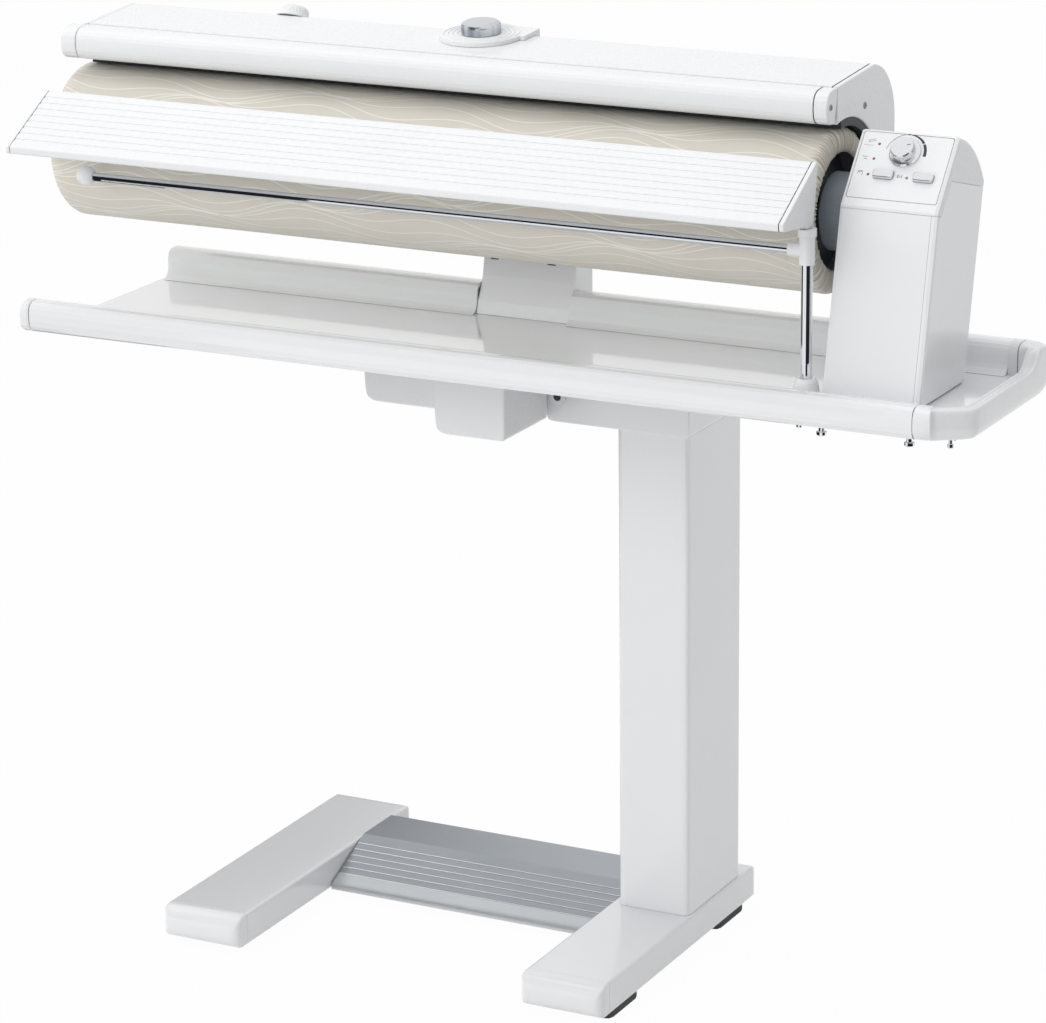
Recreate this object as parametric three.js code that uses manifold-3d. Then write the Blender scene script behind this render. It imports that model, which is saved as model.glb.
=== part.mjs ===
// Rotary flatwork ironer on a fold-up stand.
// Millimetres. X runs along the roller to the headstock, Y runs to the back, Z is up.
// While it is laid out, x = 0 and y = 0 lie midway between the two feet, on the floor.
import * as THREE from 'three';
import { mergeVertices } from 'three/addons/utils/BufferGeometryUtils.js';
import Module from 'manifold-3d';

// ---------------------------------------------------------------- driving dimensions
const seat = 0.3;                 // gap between pieces that rest on or in each other
const wall = 3;                   // sheet and moulding thickness of the housings

// stand
const footWidth = 93;
const footLength = 380;
const footHeight = 35;
const footSpread = 423;           // between the centre lines of the two feet
const padHeight = 8;
const padWidth = 56;
const padLength = 68;
const columnWidth = 80;
const columnDepth = 132;
const columnInset = 3;            // column's right face inside the foot's right face
const columnY = 88;
const headBottom = 562.5;
const headHeight = 74.5;
const headLeft = 96;
const headOverhang = 2.5;         // head past the column at the right, front and back
const headWall = 4;
const pivotX = 110;
const pivotZ = 590;
const pivotRadius = 7;

// pedal
const beamFrontY = 92;
const beamDepth = 36;
const beamBottom = 14;
const beamHeight = 24;
const pedalAxisY = 136;
const pedalAxisZ = 37;
const pedalShaftRadius = 4;
const pedalSideGap = 1.5;
const pedalTop = 47;
const pedalCreaseY = 79;
const pedalNoseY = 5.5;
const pedalNoseZ = 10.5;
const pedalSkin = 3.4;

// carrier and tray
const bufferHeight = 2.4;
const carrierPlate = 4;
const carrierLeft = 60;
const carrierRight = 256;
const carrierFrontY = -100;
const housingLeft = -105;
const housingFrontY = -82;
const housingBottom = 566;
const lugThickness = 6;
const chassisLeft = -330;
const chassisRight = 594;
const chassisFrontY = -178;
const chassisBackY = -20;
const chassisBottom = 656;
const panelTop = 675;
const panelThickness = 3;
const panelLeft = -341;
const trayBackY = 24;
const barCentreY = -194;
const barDepth = 28;
const barBottom = 657;
const barHeight = 32;
const barLeft = -380;
const barRight = 589;
const barCapLength = 12;
const trayRight = 642;
const rimWidth = 15;
const trayCorner = 30;            // radius of the tray's back right corner
const climbLength = 22;           // stretch over which the right rim climbs to the back rail
const railFrontY = -8;
const railTop = 706;
const railLeft = -337;
const railRight = 606;

// roller
const rollerY = -65;
const rollerZ = 833;
const rollerRadius = 80.3;
const rollerLeft = -390;
const rollerRight = 457;
const clothThickness = 2;
const paddingThickness = 7.7;
const tubeWall = 4;
const shaftRadius = 10;

// headstock
const headstockLeft = 480;
const headstockWidth = 100;
const headstockLean = 0.2255;     // rearward shift of its faces for each mm of height
const headstockFrontY = -168;     // at the tray
const headstockDepth = 116.5;
const hoodStartZ = 855;
const hoodTopY = -75;
const hoodTopZ = 917;
const hoodBackZ = 864;
const neckRadius = 38;
const gearTeeth = 48;
const pinionTeeth = 12;
const gearModule = 1.5;
const gearWidth = 12;

// pressing plate and its cover
const plateGap = 1.7;
const plateThickness = 8;
const plateStart = 12;            // degrees above the horizontal, at the back
const plateEnd = 96;
const platePivotY = 30;
const platePivotZ = 727;
const platePinRadius = 6;
const armWidth = 87;
const supportLeft = 31;
const supportWidth = 105;
const coverLeft = -373;
const coverRight = 460;
const coverEnd = 5.7;
const coverFrontY = -86;
const coverFrontRise = 124;       // front edge of its top over the roller's axis
const coverBackRadius = 62;
const coverBackY = -5;            // centre of the rounded back
const coverBackRise = 69;
const coverTopBackY = 4;          // where the flat top meets the rounded back
const coverSkirtRise = 13;
const coverLipDepth = 21;
const coverWall = 2.5;
const guardFrontY = -112;
const guardHeight = 34;
const guardCapLength = 14;

// feed board
const boardLeft = -388;
const boardRight = 466;
const boardCap = 5;
const boardFrontY = -225;
const boardFrontZ = 846.5;
const boardLip = 7.5;
const boardBackY = -145;
const boardBackZ = 898;
const boardHeelY = -155;
const boardHeelZ = 838.5;
const boardWall = 2.5;

// hanging rail
const uprightX = 464.5;
const uprightY = -166;
const uprightRadius = 5.5;
const railRodZ = 817;
const railRodRadius = 4.3;
const railRodEnd = -324;
const railBallRadius = 10.5;

// ---------------------------------------------------------------- derived places
const footTop = padHeight + footHeight;
const footInner = footSpread / 2 - footWidth / 2;
const footOuter = footSpread / 2 + footWidth / 2;
const columnRight = footOuter - columnInset;
const columnLeft = columnRight - columnWidth;
const columnFront = columnY - columnDepth / 2;
const columnBack = columnY + columnDepth / 2;
const headTop = headBottom + headHeight;
const headFront = columnFront - headOverhang;
const headBack = columnBack + headOverhang;
const headRight = columnRight + headOverhang;
const carrierBottom = headTop + seat * 2 + bufferHeight;
const panelBottom = panelTop - panelThickness;
const barBackY = barCentreY + barDepth / 2;
const barFrontY = barCentreY - barDepth / 2;
const barTop = barBottom + barHeight;
const headstockRight = headstockLeft + headstockWidth;
const plateInner = rollerRadius + plateGap;
const plateOuter = plateInner + plateThickness;
const coverFrontZ = rollerZ + coverFrontRise;
const coverBackZ = rollerZ + coverBackRise;
const coverSkirtZ = rollerZ + coverSkirtRise;
const guardBottom = coverFrontZ - guardHeight;
const coverBackAngle = Math.acos((coverTopBackY - coverBackY) / coverBackRadius);
const coverTopBackZ = coverBackZ + coverBackRadius * Math.sin(coverBackAngle);
const supportRight = supportLeft + supportWidth;
const gearDistance = gearModule * (gearTeeth + pinionTeeth) / 2 + 0.5;
const pinionAngle = -Math.PI / 2 - Math.atan(headstockLean);
const pinionY = rollerY + gearDistance * Math.cos(pinionAngle);
const pinionZ = rollerZ + gearDistance * Math.sin(pinionAngle);
const gearLeft = headstockLeft + 30;

// ---------------------------------------------------------------- materials
function finish(color, roughness, metalness = 0) {
  return new THREE.MeshStandardMaterial({ color, roughness, metalness });
}
const enamel = finish(0xeef0f1, 0.35);
const whitePlastic = finish(0xf0f1f1, 0.3);
const steel = finish(0xb9bdc0, 0.4, 0.9);
const chrome = finish(0xd8dadd, 0.12, 1);
const aluminium = finish(0xa3aab0, 0.45, 0.8);
const darkMetal = finish(0x2a2d33, 0.5, 0.6);
const rubber = finish(0x4a4d50, 0.85);
const greyPlastic = finish(0x8c9aa6, 0.5);
const silverPlastic = finish(0xc4c8cb, 0.3, 0.6);
const cloth = finish(0xd2c8b6, 0.95);
const felt = finish(0xe6e2d8, 1);

// ---------------------------------------------------------------- shape helpers
const wasm = await Module();
wasm.setup();

function toSolid(geometry) {
  const bare = geometry.clone();
  bare.deleteAttribute('normal');
  bare.deleteAttribute('uv');
  const merged = mergeVertices(bare, 1e-4);
  const corners = merged.index.array;
  const triangles = [];
  for (let i = 0; i < corners.length; i += 3) {
    const [a, b, c] = corners.slice(i, i + 3);
    if (a !== b && b !== c && c !== a) triangles.push(a, b, c);
  }
  return new wasm.Manifold(new wasm.Mesh({
    numProp: 3,
    vertProperties: merged.attributes.position.array,
    triVerts: Uint32Array.from(triangles),
  }));
}

function toGeometry(solid) {
  const mesh = solid.getMesh();
  const geometry = new THREE.BufferGeometry();
  geometry.setAttribute('position', new THREE.BufferAttribute(new Float32Array(mesh.vertProperties), 3));
  geometry.setIndex(new THREE.BufferAttribute(new Uint32Array(mesh.triVerts), 1));
  geometry.computeVertexNormals();
  return geometry;
}

const cut = (body, ...tools) => toGeometry(tools.reduce((s, tool) => s.subtract(toSolid(tool)), toSolid(body)));
const join = (body, ...more) => toGeometry(more.reduce((s, piece) => s.add(toSolid(piece)), toSolid(body)));
const common = (body, tool) => toGeometry(toSolid(body).intersect(toSolid(tool)));

// a closed outline through corners [u, v, radius], with each corner rounded by its radius
function outline(corners) {
  const shape = new THREE.Shape();
  const count = corners.length;
  corners.forEach(([u, v, radius = 0], i) => {
    const here = new THREE.Vector2(u, v);
    const before = new THREE.Vector2(...corners[(i + count - 1) % count]).sub(here);
    const after = new THREE.Vector2(...corners[(i + 1) % count]).sub(here);
    const opening = Math.acos(before.dot(after) / before.length() / after.length());
    const reach = radius / Math.tan(opening / 2);
    const start = before.setLength(reach).add(here);
    const end = after.setLength(reach).add(here);
    if (i === 0) shape.moveTo(start.x, start.y);
    else shape.lineTo(start.x, start.y);
    if (radius > 0) shape.quadraticCurveTo(u, v, end.x, end.y);
  });
  shape.closePath();
  return shape;
}

const rectangle = (u0, v0, u1, v1, radius = 0) =>
  outline([[u0, v0, radius], [u1, v0, radius], [u1, v1, radius], [u0, v1, radius]]);

// outlines are drawn as (y, z) for a length along x, (x, z) along y and (x, y) along z
const axisX = new THREE.Vector3(1, 0, 0);
const axisY = new THREE.Vector3(0, 1, 0);
const axisZ = new THREE.Vector3(0, 0, 1);
const along = {
  x: new THREE.Matrix4().makeBasis(axisY, axisZ, axisX),
  y: new THREE.Matrix4().makeBasis(axisX, axisZ, axisY.clone().negate()),
  z: new THREE.Matrix4(),
};

function extrude(shape, axis, from, to, bevel = 0, curveSegments = 4) {
  const geometry = new THREE.ExtrudeGeometry(shape, {
    depth: to - from - 2 * bevel,
    bevelEnabled: bevel > 0,
    bevelThickness: bevel,
    bevelSize: bevel,
    bevelOffset: -bevel,
    bevelSegments: 2,
    curveSegments,
  });
  geometry.translate(0, 0, (axis === 'y' ? -to : from) + bevel);
  return geometry.applyMatrix4(along[axis]);
}

// an extrusion with a bore of another outline right through it
const hollow = (shape, bore, axis, from, to) =>
  cut(extrude(shape, axis, from, to), extrude(bore, axis, from - 1, to + 1));

const block = (x0, y0, z0, x1, y1, z1, radius = 0) =>
  extrude(rectangle(x0, y0, x1, y1, radius), 'z', z0, z1);

function rod(radius, axis, from, to, u, v, sides = 24) {
  const shape = new THREE.Shape().absarc(u, v, radius, 0, 2 * Math.PI);
  return extrude(shape, axis, from, to, 0, sides / 2);
}

// a profile of [radius, height] pairs turned about the local Z axis
function turned(profile, sides = 32) {
  const points = profile.map(([radius, height]) => new THREE.Vector2(radius, height));
  return new THREE.LatheGeometry(points, sides).rotateX(Math.PI / 2);
}

// the same, turned about the roller's axis, with heights as x
function turnedOnRoller(profile, sides) {
  return turned(profile, sides).applyMatrix4(along.x).translate(0, rollerY, rollerZ);
}

// turns closed faces outwards, whatever way their profile was drawn
function facingOut(geometry) {
  const flat = geometry.index ? geometry.toNonIndexed() : geometry;
  const p = flat.attributes.position;
  const [a, b, c] = [new THREE.Vector3(), new THREE.Vector3(), new THREE.Vector3()];
  let volume = 0;
  for (let i = 0; i < p.count; i += 3) {
    a.fromBufferAttribute(p, i);
    b.fromBufferAttribute(p, i + 1);
    c.fromBufferAttribute(p, i + 2);
    volume += a.dot(b.cross(c));
  }
  if (volume > 0) return flat;
  for (let i = 0; i < p.count; i += 3) {
    b.fromBufferAttribute(p, i + 1);
    c.fromBufferAttribute(p, i + 2);
    p.setXYZ(i + 1, c.x, c.y, c.z);
    p.setXYZ(i + 2, b.x, b.y, b.z);
  }
  flat.computeVertexNormals();
  return flat;
}

const stand = new THREE.Group();
const unit = new THREE.Group();
const plate = new THREE.Group();
const roller = new THREE.Group();
const ironer = new THREE.Group();
ironer.add(stand, unit, plate, roller);

function piece(name, geometry, material, group = unit) {
  const mesh = new THREE.Mesh(facingOut(geometry), material);
  mesh.name = name;
  group.add(mesh);
  return mesh;
}

// ---------------------------------------------------------------- stand
function makeFoot(name, side) {
  const x0 = side * footSpread / 2 - footWidth / 2;
  const half = footLength / 2;
  const sideView = outline([
    [-half, padHeight, 5], [half, padHeight, 5], [half, footTop, 8], [-half, footTop, 14],
  ]);
  const body = extrude(sideView, 'x', x0, x0 + footWidth, 2.5);
  const plan = extrude(rectangle(x0, -half, x0 + footWidth, half, 9), 'z', padHeight, footTop);
  const skin = 4;
  const inside = extrude(outline([
    [skin - half, padHeight + wall, 3], [half - skin, padHeight + wall, 3],
    [half - skin, footTop - wall, 6], [skin - half, footTop - wall, 12],
  ]), 'x', x0 + skin, x0 + footWidth - skin);
  const opening = block(x0 + 20, -40, padHeight - 2, x0 + footWidth - 20, 40, padHeight + wall + 2, 6);
  piece(name, cut(common(body, plan), inside, opening), enamel, stand);
}

function makePads() {
  const endInset = 25;
  const sideInset = 2;
  for (const [sideName, side] of [['left', -1], ['right', 1]]) {
    for (const [endName, end] of [['front', -1], ['rear', 1]]) {
      const xOuter = side * (footOuter - sideInset);
      const yOuter = end * (footLength / 2 - endInset);
      const xs = [xOuter, xOuter - side * padWidth].sort((a, b) => a - b);
      const ys = [yOuter, yOuter - end * padLength].sort((a, b) => a - b);
      const pad = extrude(rectangle(xs[0], ys[0], xs[1], ys[1], 8), 'z', 0, padHeight - seat, 1, 2);
      piece(`${sideName}_${endName}_pad`, pad, rubber, stand);
    }
  }
}

function makeCrossBeam() {
  const beamBack = beamFrontY + beamDepth;
  const beamTop = beamBottom + beamHeight;
  const section = rectangle(beamFrontY, beamBottom, beamBack, beamTop, 3);
  const bore = rectangle(beamFrontY + wall, beamBottom + wall, beamBack - wall, beamTop - wall);
  const shaftReach = 150;
  const bracketReach = 125;
  let beam = hollow(section, bore, 'x', seat - footInner, footInner - seat);
  for (const x of [-bracketReach, bracketReach]) {
    const bracket = outline([
      [beamBack - 1, beamBottom + 4], [pedalAxisY, beamBottom + 12],
      [pedalAxisY + 4, pedalAxisZ - 6, 3], [pedalAxisY + 4, pedalAxisZ + 6, 3], [beamBack - 1, beamTop],
    ]);
    beam = join(beam, extrude(bracket, 'x', x - wall, x + wall));
  }
  beam = join(beam, rod(pedalShaftRadius, 'x', -shaftReach, shaftReach, pedalAxisY, pedalAxisZ, 12));
  piece('cross_beam', beam, steel, stand);
}

// points along a line with shallow square grooves across it
function grooved([u0, v0], [u1, v1], first, pitch, count, width, depth) {
  const length = Math.hypot(u1 - u0, v1 - v0);
  const [du, dv] = [(u1 - u0) / length, (v1 - v0) / length];
  const at = (s, d) => [u0 + du * s - dv * d, v0 + dv * s + du * d];
  const points = [];
  for (let i = 0; i < count; i += 1) {
    const s = first + i * pitch;
    points.push(at(s, 0), at(s, depth), at(s + width, depth), at(s + width, 0));
  }
  return points;
}

function makePedal() {
  const backY = pedalAxisY + 7.5;
  const flangeBottom = pedalAxisZ - 4;
  const crease = [pedalCreaseY, pedalTop - 0.2];
  const nose = [pedalNoseY + 4.5, pedalNoseZ + 5];
  const heel = [pedalCreaseY + 2, pedalTop - pedalSkin];
  const skin = outline([
    [backY, pedalTop, 2.5], [...crease, 6],
    ...grooved(crease, nose, 14, 9.5, 6, 1.4, 0.7),
    [...nose, 4], [pedalNoseY, pedalNoseZ, 2], [pedalNoseY + 2.5, pedalNoseZ - 2, 1],
    [pedalNoseY + 8.5, pedalNoseZ - 1, 1], [...heel, 6],
    [backY - wall, pedalTop - pedalSkin], [backY - wall, flangeBottom], [backY, flangeBottom],
  ]);
  const halfWidth = footInner - pedalSideGap;
  let body = extrude(skin, 'x', -halfWidth, halfWidth);
  const cheek = outline([
    [crease[0] + 5, pedalTop - 1], crease.map((v) => v - 1), [nose[0], nose[1] - 1],
    [pedalNoseY + 2.5, pedalNoseZ - 1.5], [beamFrontY - 6, beamBottom],
    [beamFrontY - 6, pedalTop - 1],
  ]);
  for (const [x0, x1] of [[-halfWidth, wall - halfWidth], [halfWidth - wall, halfWidth]]) {
    body = join(body, extrude(cheek, 'x', x0, x1));
  }
  for (const x of [-100, 0, 100]) {
    const lug = outline([
      [pedalAxisY - 6.5, pedalTop - 2], [pedalAxisY - 6.5, pedalAxisZ - 6.5, 6],
      [pedalAxisY + 6, pedalAxisZ - 6.5, 6], [pedalAxisY + 6, pedalTop - 2],
    ]);
    body = join(body, extrude(lug, 'x', x - 8, x + 8));
  }
  const bore = rod(pedalShaftRadius + seat, 'x', -150.5, 150.5, pedalAxisY, pedalAxisZ, 12);
  piece('foot_pedal', cut(body, bore), aluminium, stand);
  const pressed = 39;
  const box = block(-30, beamFrontY - 22, beamBottom, 30, beamFrontY - seat, beamBottom + 20, 2);
  const plunger = rod(4, 'z', beamBottom + 18, pressed, 0, beamFrontY - 10, 12);
  piece('pedal_switch', join(box, plunger), darkMetal, stand);
}

function makeColumn() {
  const radius = 6;
  const section = rectangle(columnLeft, columnFront, columnRight, columnBack, radius);
  const bore = rectangle(
    columnLeft + wall, columnFront + wall, columnRight - wall, columnBack - wall, radius - wall);
  piece('column', hollow(section, bore, 'z', footTop + seat, headBottom - seat), enamel, stand);
}

function makeColumnHead() {
  const frontView = outline([
    [headLeft, headBottom, 8], [headRight, headBottom, 4], [headRight, headTop, 3], [headLeft, headTop, 6],
  ]);
  const outside = extrude(frontView, 'y', headFront, headBack, 1.5);
  const hollow = block(headLeft - 10, headFront + headWall, headBottom + headWall,
    headRight - headWall, headBack - headWall, headTop + 10);
  const ledge = block(headRight - 34, headFront + 2, headTop - headWall, headRight - 2, headBack - 2, headTop);
  const bore = rod(pivotRadius + seat, 'y', headFront - 5, headBack + 5, pivotX, pivotZ);
  piece('column_head', cut(join(cut(outside, hollow), ledge), bore), enamel, stand);

  const headReach = 3;
  const pin = join(
    rod(pivotRadius, 'y', headFront - headReach, headBack + headReach, pivotX, pivotZ),
    rod(pivotRadius + 2, 'y', headFront - headReach, headFront - seat, pivotX, pivotZ),
    rod(pivotRadius + 2, 'y', headBack + seat, headBack + headReach, pivotX, pivotZ));
  piece('fold_pivot_pin', pin, darkMetal, stand);
  const buffer = extrude(rectangle(headRight - 30, headFront + 10, headRight - 8, headBack - 10, 5),
    'z', headTop + seat, headTop + seat + bufferHeight);
  piece('rest_buffer', buffer, rubber, stand);
}

// ---------------------------------------------------------------- carrier and tray
function makeCarrier() {
  const top = carrierBottom + carrierPlate;
  const backY = headBack - 2;
  let carrier = extrude(rectangle(carrierLeft, carrierFrontY, carrierRight, backY, 12), 'z', carrierBottom, top);
  const ribWidth = 18;
  for (const x of [carrierLeft + 4, carrierRight - 4 - ribWidth]) {
    const rib = block(x, carrierFrontY + 4, top - 1, x + ribWidth, chassisBackY - 4, chassisBottom - seat);
    carrier = join(carrier, rib);
  }
  const runningGap = 0.5;
  const reach = 19;
  const lug = outline([
    [pivotX - reach, carrierBottom + 1], [pivotX - reach, pivotZ - reach, reach - 1],
    [pivotX + reach, pivotZ - reach, reach - 1], [pivotX + 62, carrierBottom + 1],
  ]);
  const front = headFront + headWall + runningGap;
  const back = headBack - headWall - runningGap;
  for (const [y0, y1] of [[front, front + lugThickness], [back - lugThickness, back]]) {
    carrier = join(carrier, extrude(lug, 'y', y0, y1, 0, 8));
  }
  const bore = rod(pivotRadius + seat, 'y', front - 1, back + 1, pivotX, pivotZ);
  piece('carrier', cut(carrier, bore), steel);

  const chassisTop = panelBottom - seat;
  const chassisMiddle = (chassisFrontY + chassisBackY) / 2;
  const chassis = outline([
    [chassisFrontY, chassisBottom], [chassisBackY, chassisBottom], [chassisBackY, chassisTop],
    [chassisBackY - wall, chassisTop], [chassisBackY - wall, chassisBottom + wall],
    [chassisMiddle + wall, chassisBottom + wall], [chassisMiddle + wall, chassisTop], [chassisMiddle, chassisTop],
    [chassisMiddle, chassisBottom + wall],
    [chassisFrontY + wall, chassisBottom + wall], [chassisFrontY + wall, chassisTop], [chassisFrontY, chassisTop],
  ]);
  piece('chassis_beam', extrude(chassis, 'x', chassisLeft, chassisRight), steel);
}

// plan of the chamfered front right corner of the tray, moved inwards by an offset
function cornerPlan(offset) {
  const slope = Math.hypot(45, 30);
  const shift = offset * 30 / (45 + slope);
  return {
    front: [597 - shift, barFrontY + offset],
    side: [trayRight - offset, barFrontY + 30 + shift * 45 / 30],
  };
}

function makeTray() {
  const inner = cornerPlan(rimWidth + seat);
  const panelFront = barBackY + seat;
  const panel = outline([
    [panelLeft, trayBackY, 4], [panelLeft, panelFront, 42], [inner.front[0], panelFront],
    inner.side, [inner.side[0], railFrontY - seat], [railRight, railFrontY - seat], [railRight, trayBackY],
  ]);
  piece('tray_panel', extrude(panel, 'z', panelBottom, panelTop, 0, 8), enamel);

  const barWall = 2.5;
  const section = rectangle(barFrontY, barBottom, barBackY, barTop, 12);
  const bore = rectangle(
    barFrontY + barWall, barBottom + barWall, barBackY - barWall, barTop - barWall, 12 - barWall);
  piece('front_bar', hollow(section, bore, 'x', barLeft, barRight), enamel);
  const cap = extrude(rectangle(barFrontY, barBottom, barBackY, barTop, 12),
    'x', barLeft - seat - barCapLength, barLeft - seat, 3);
  piece('front_bar_cap', cap, whitePlastic);

  const railFoot = 9;             // the cove's foot in front of the rail
  const railNose = 2;
  const railSection = outline([
    [railFrontY - railFoot, panelTop + seat], [trayBackY, panelTop + seat], [trayBackY, railTop, 12],
    [railFrontY + railNose, railTop, 12], [railFrontY + railNose, panelTop + wall, 14],
  ]);
  const railBore = outline([
    [railFrontY + railNose + wall, panelTop + wall], [trayBackY - wall, panelTop + wall],
    [trayBackY - wall, railTop - wall, 10], [railFrontY + railNose + wall, railTop - wall, 10],
  ]);
  for (const [side, from, to] of [['left', railLeft, supportLeft - seat], ['right', supportRight + seat, railRight]]) {
    const bore = extrude(railBore, 'x', from + wall, to + 1);
    piece(`back_rail_${side}`, cut(extrude(railSection, 'x', from, to), bore), enamel);
  }
}

// moulded corner: it carries the line of the front bar round to the back rail and climbs to its height
function makeTrayEnd() {
  const outer = cornerPlan(0);
  const inner = cornerPlan(rimWidth);
  const start = barRight + seat;
  const climb = [0, 0.2, 0.4, 0.6, 0.8, 1];
  const riseY = (share) => railFrontY - 3 - climbLength * (1 - share);
  const plan = outline([
    [start, barFrontY], [...outer.front, 8], [...outer.side, 12],
    ...climb.map((share) => [trayRight, riseY(share)]), [trayRight, trayBackY, trayCorner],
    [railRight + seat, trayBackY], [railRight + seat, railFrontY], [inner.side[0], railFrontY],
    ...climb.toReversed().map((share) => [inner.side[0], riseY(share)]),
    inner.side, [inner.front[0], barBackY], [start, barBackY],
  ]);
  const frontTop = barTop - 3;
  const end = extrude(plan, 'z', barBottom, frontTop, 2.5);
  const place = end.attributes.position;
  for (let i = 0; i < place.count; i += 1) {
    const share = THREE.MathUtils.smoothstep(place.getY(i), riseY(0), riseY(1));
    const stretch = 1 + share * (railTop - frontTop) / (frontTop - barBottom);
    place.setZ(i, barBottom + (place.getZ(i) - barBottom) * stretch);
  }
  piece('tray_end_piece', end, whitePlastic);
}

function makeUnderTray() {
  const floor = housingBottom + wall;
  const skin = wall + 1;
  const ceiling = carrierBottom - 2 * wall;
  const clearTop = chassisBottom - seat;
  const frontLeft = carrierLeft - 38;
  const frontRight = carrierLeft + 40;
  const frontBack = headFront - 5;
  const sideRight = headLeft - 27;
  const sideBack = headBack - 46;
  const flare = 4;                // the housing widens by this much towards its top
  const front = extrude(outline([[frontLeft, housingBottom, 12], [frontRight, housingBottom, 5],
    [frontRight, clearTop], [frontLeft - flare - 2, clearTop]]), 'y', housingFrontY, frontBack, 2);
  const side = extrude(outline([[housingLeft, housingBottom, 14], [sideRight, housingBottom, 5],
    [sideRight, clearTop], [housingLeft - flare, clearTop]]), 'y', 0, sideBack, 2);
  const carrierSpace = block(carrierLeft - seat, carrierFrontY - 5, carrierBottom - seat,
    carrierRight, headBack, chassisBottom);
  const frontInside = block(frontLeft + skin, housingFrontY + skin, floor, frontRight - skin, frontBack - skin, ceiling);
  const sideInside = extrude(outline([[housingLeft + skin, floor, 12], [sideRight - skin, floor, 3],
    [sideRight - skin, ceiling], [housingLeft + 1, ceiling]]), 'y', skin, sideBack - skin);
  const wireWay = block(frontLeft + skin + 2, housingFrontY + 12, ceiling - 4,
    carrierLeft - 6, chassisBackY - 6, clearTop + 5, 4);
  const housing = cut(join(front, side), carrierSpace, frontInside, sideInside, wireWay);
  piece('under_tray_housing', housing, whitePlastic);
}

function makeHeadstockBolts() {
  const boltY = chassisFrontY + 10;
  const stripTop = chassisBottom - seat;
  const stripDepth = 16;
  const xs = [headstockLeft - 21, headstockLeft + 2, headstockRight - 9, headstockRight + 32];
  const sizes = [[3, 10], [5, 15], [5, 15], [3, 12]];
  let strip = block(xs[0] - 8, boltY - stripDepth / 2, stripTop - 2, xs[3] + 8, boltY + stripDepth / 2, stripTop, 2);
  sizes.forEach(([radius, reach], i) => {
    const neck = radius * 0.6;
    const bolt = turned([[0, 0], [radius * 0.8, 0], [radius, 1], [radius, 4], [neck, 4.5],
      [neck, reach - 1], [0, reach - 1]], 12);
    strip = join(strip, bolt.translate(xs[i], boltY, stripTop - reach));
  });
  piece('headstock_bolts', strip, chrome);
}

// ---------------------------------------------------------------- headstock
// side view (y, z) of the leaning housing, drawn in by an inset
function headstockSide(inset, slopeInset = inset) {
  const lean = Math.hypot(1, headstockLean);
  const base = panelTop + seat;
  const frontAt = (z) => headstockFrontY + headstockLean * (z - base) + inset * lean;
  const backAt = (z) => headstockFrontY + headstockDepth + headstockLean * (z - base) - inset * lean;
  const slope = Math.hypot(hoodTopY - frontAt(hoodStartZ), hoodTopZ - hoodStartZ);
  const drop = slopeInset * slope / (hoodTopY - frontAt(hoodStartZ));
  const shape = new THREE.Shape();
  shape.moveTo(frontAt(base - inset), base - inset);
  shape.lineTo(backAt(base - inset), base - inset);
  shape.lineTo(backAt(hoodBackZ), hoodBackZ);
  shape.quadraticCurveTo(backAt(hoodBackZ) - 23, hoodTopZ - 10 - inset, hoodTopY + inset / 2, hoodTopZ - inset);
  const slopeZ = (y) => hoodStartZ + (y - (headstockFrontY + headstockLean * (hoodStartZ - base)))
    * (hoodTopZ - hoodStartZ) / (hoodTopY - (headstockFrontY + headstockLean * (hoodStartZ - base))) - drop;
  if (slopeInset > 0) shape.lineTo(hoodTopY + inset / 2, slopeZ(hoodTopY + inset / 2));
  const meetZ = hoodStartZ - drop * 0.7;
  shape.lineTo(frontAt(meetZ), slopeInset > 0 ? slopeZ(frontAt(meetZ)) : hoodStartZ);
  shape.closePath();
  return shape;
}

const hoodStartY = headstockFrontY + headstockLean * (hoodStartZ - panelTop - seat);
const panelTilt = Math.atan2(hoodTopZ - hoodStartZ, hoodTopY - hoodStartY);
const slopeLength = Math.hypot(hoodTopZ - hoodStartZ, hoodTopY - hoodStartY);

// puts a piece made flat (x across, y up the slope, z outwards) on the sloping control face
function onSlope(geometry, x, up, out = 0) {
  return geometry.translate(x, up, out).rotateX(panelTilt).translate(0, hoodStartY, hoodStartZ);
}

const knobX = 530;
const knobUp = 59.7;
const buttonUp = 34.8;
const buttonXs = { left: 515, right: 555.3 };
const buttonLength = 20;
const buttonHeight = 9;
const controlThickness = 2.4;

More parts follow.
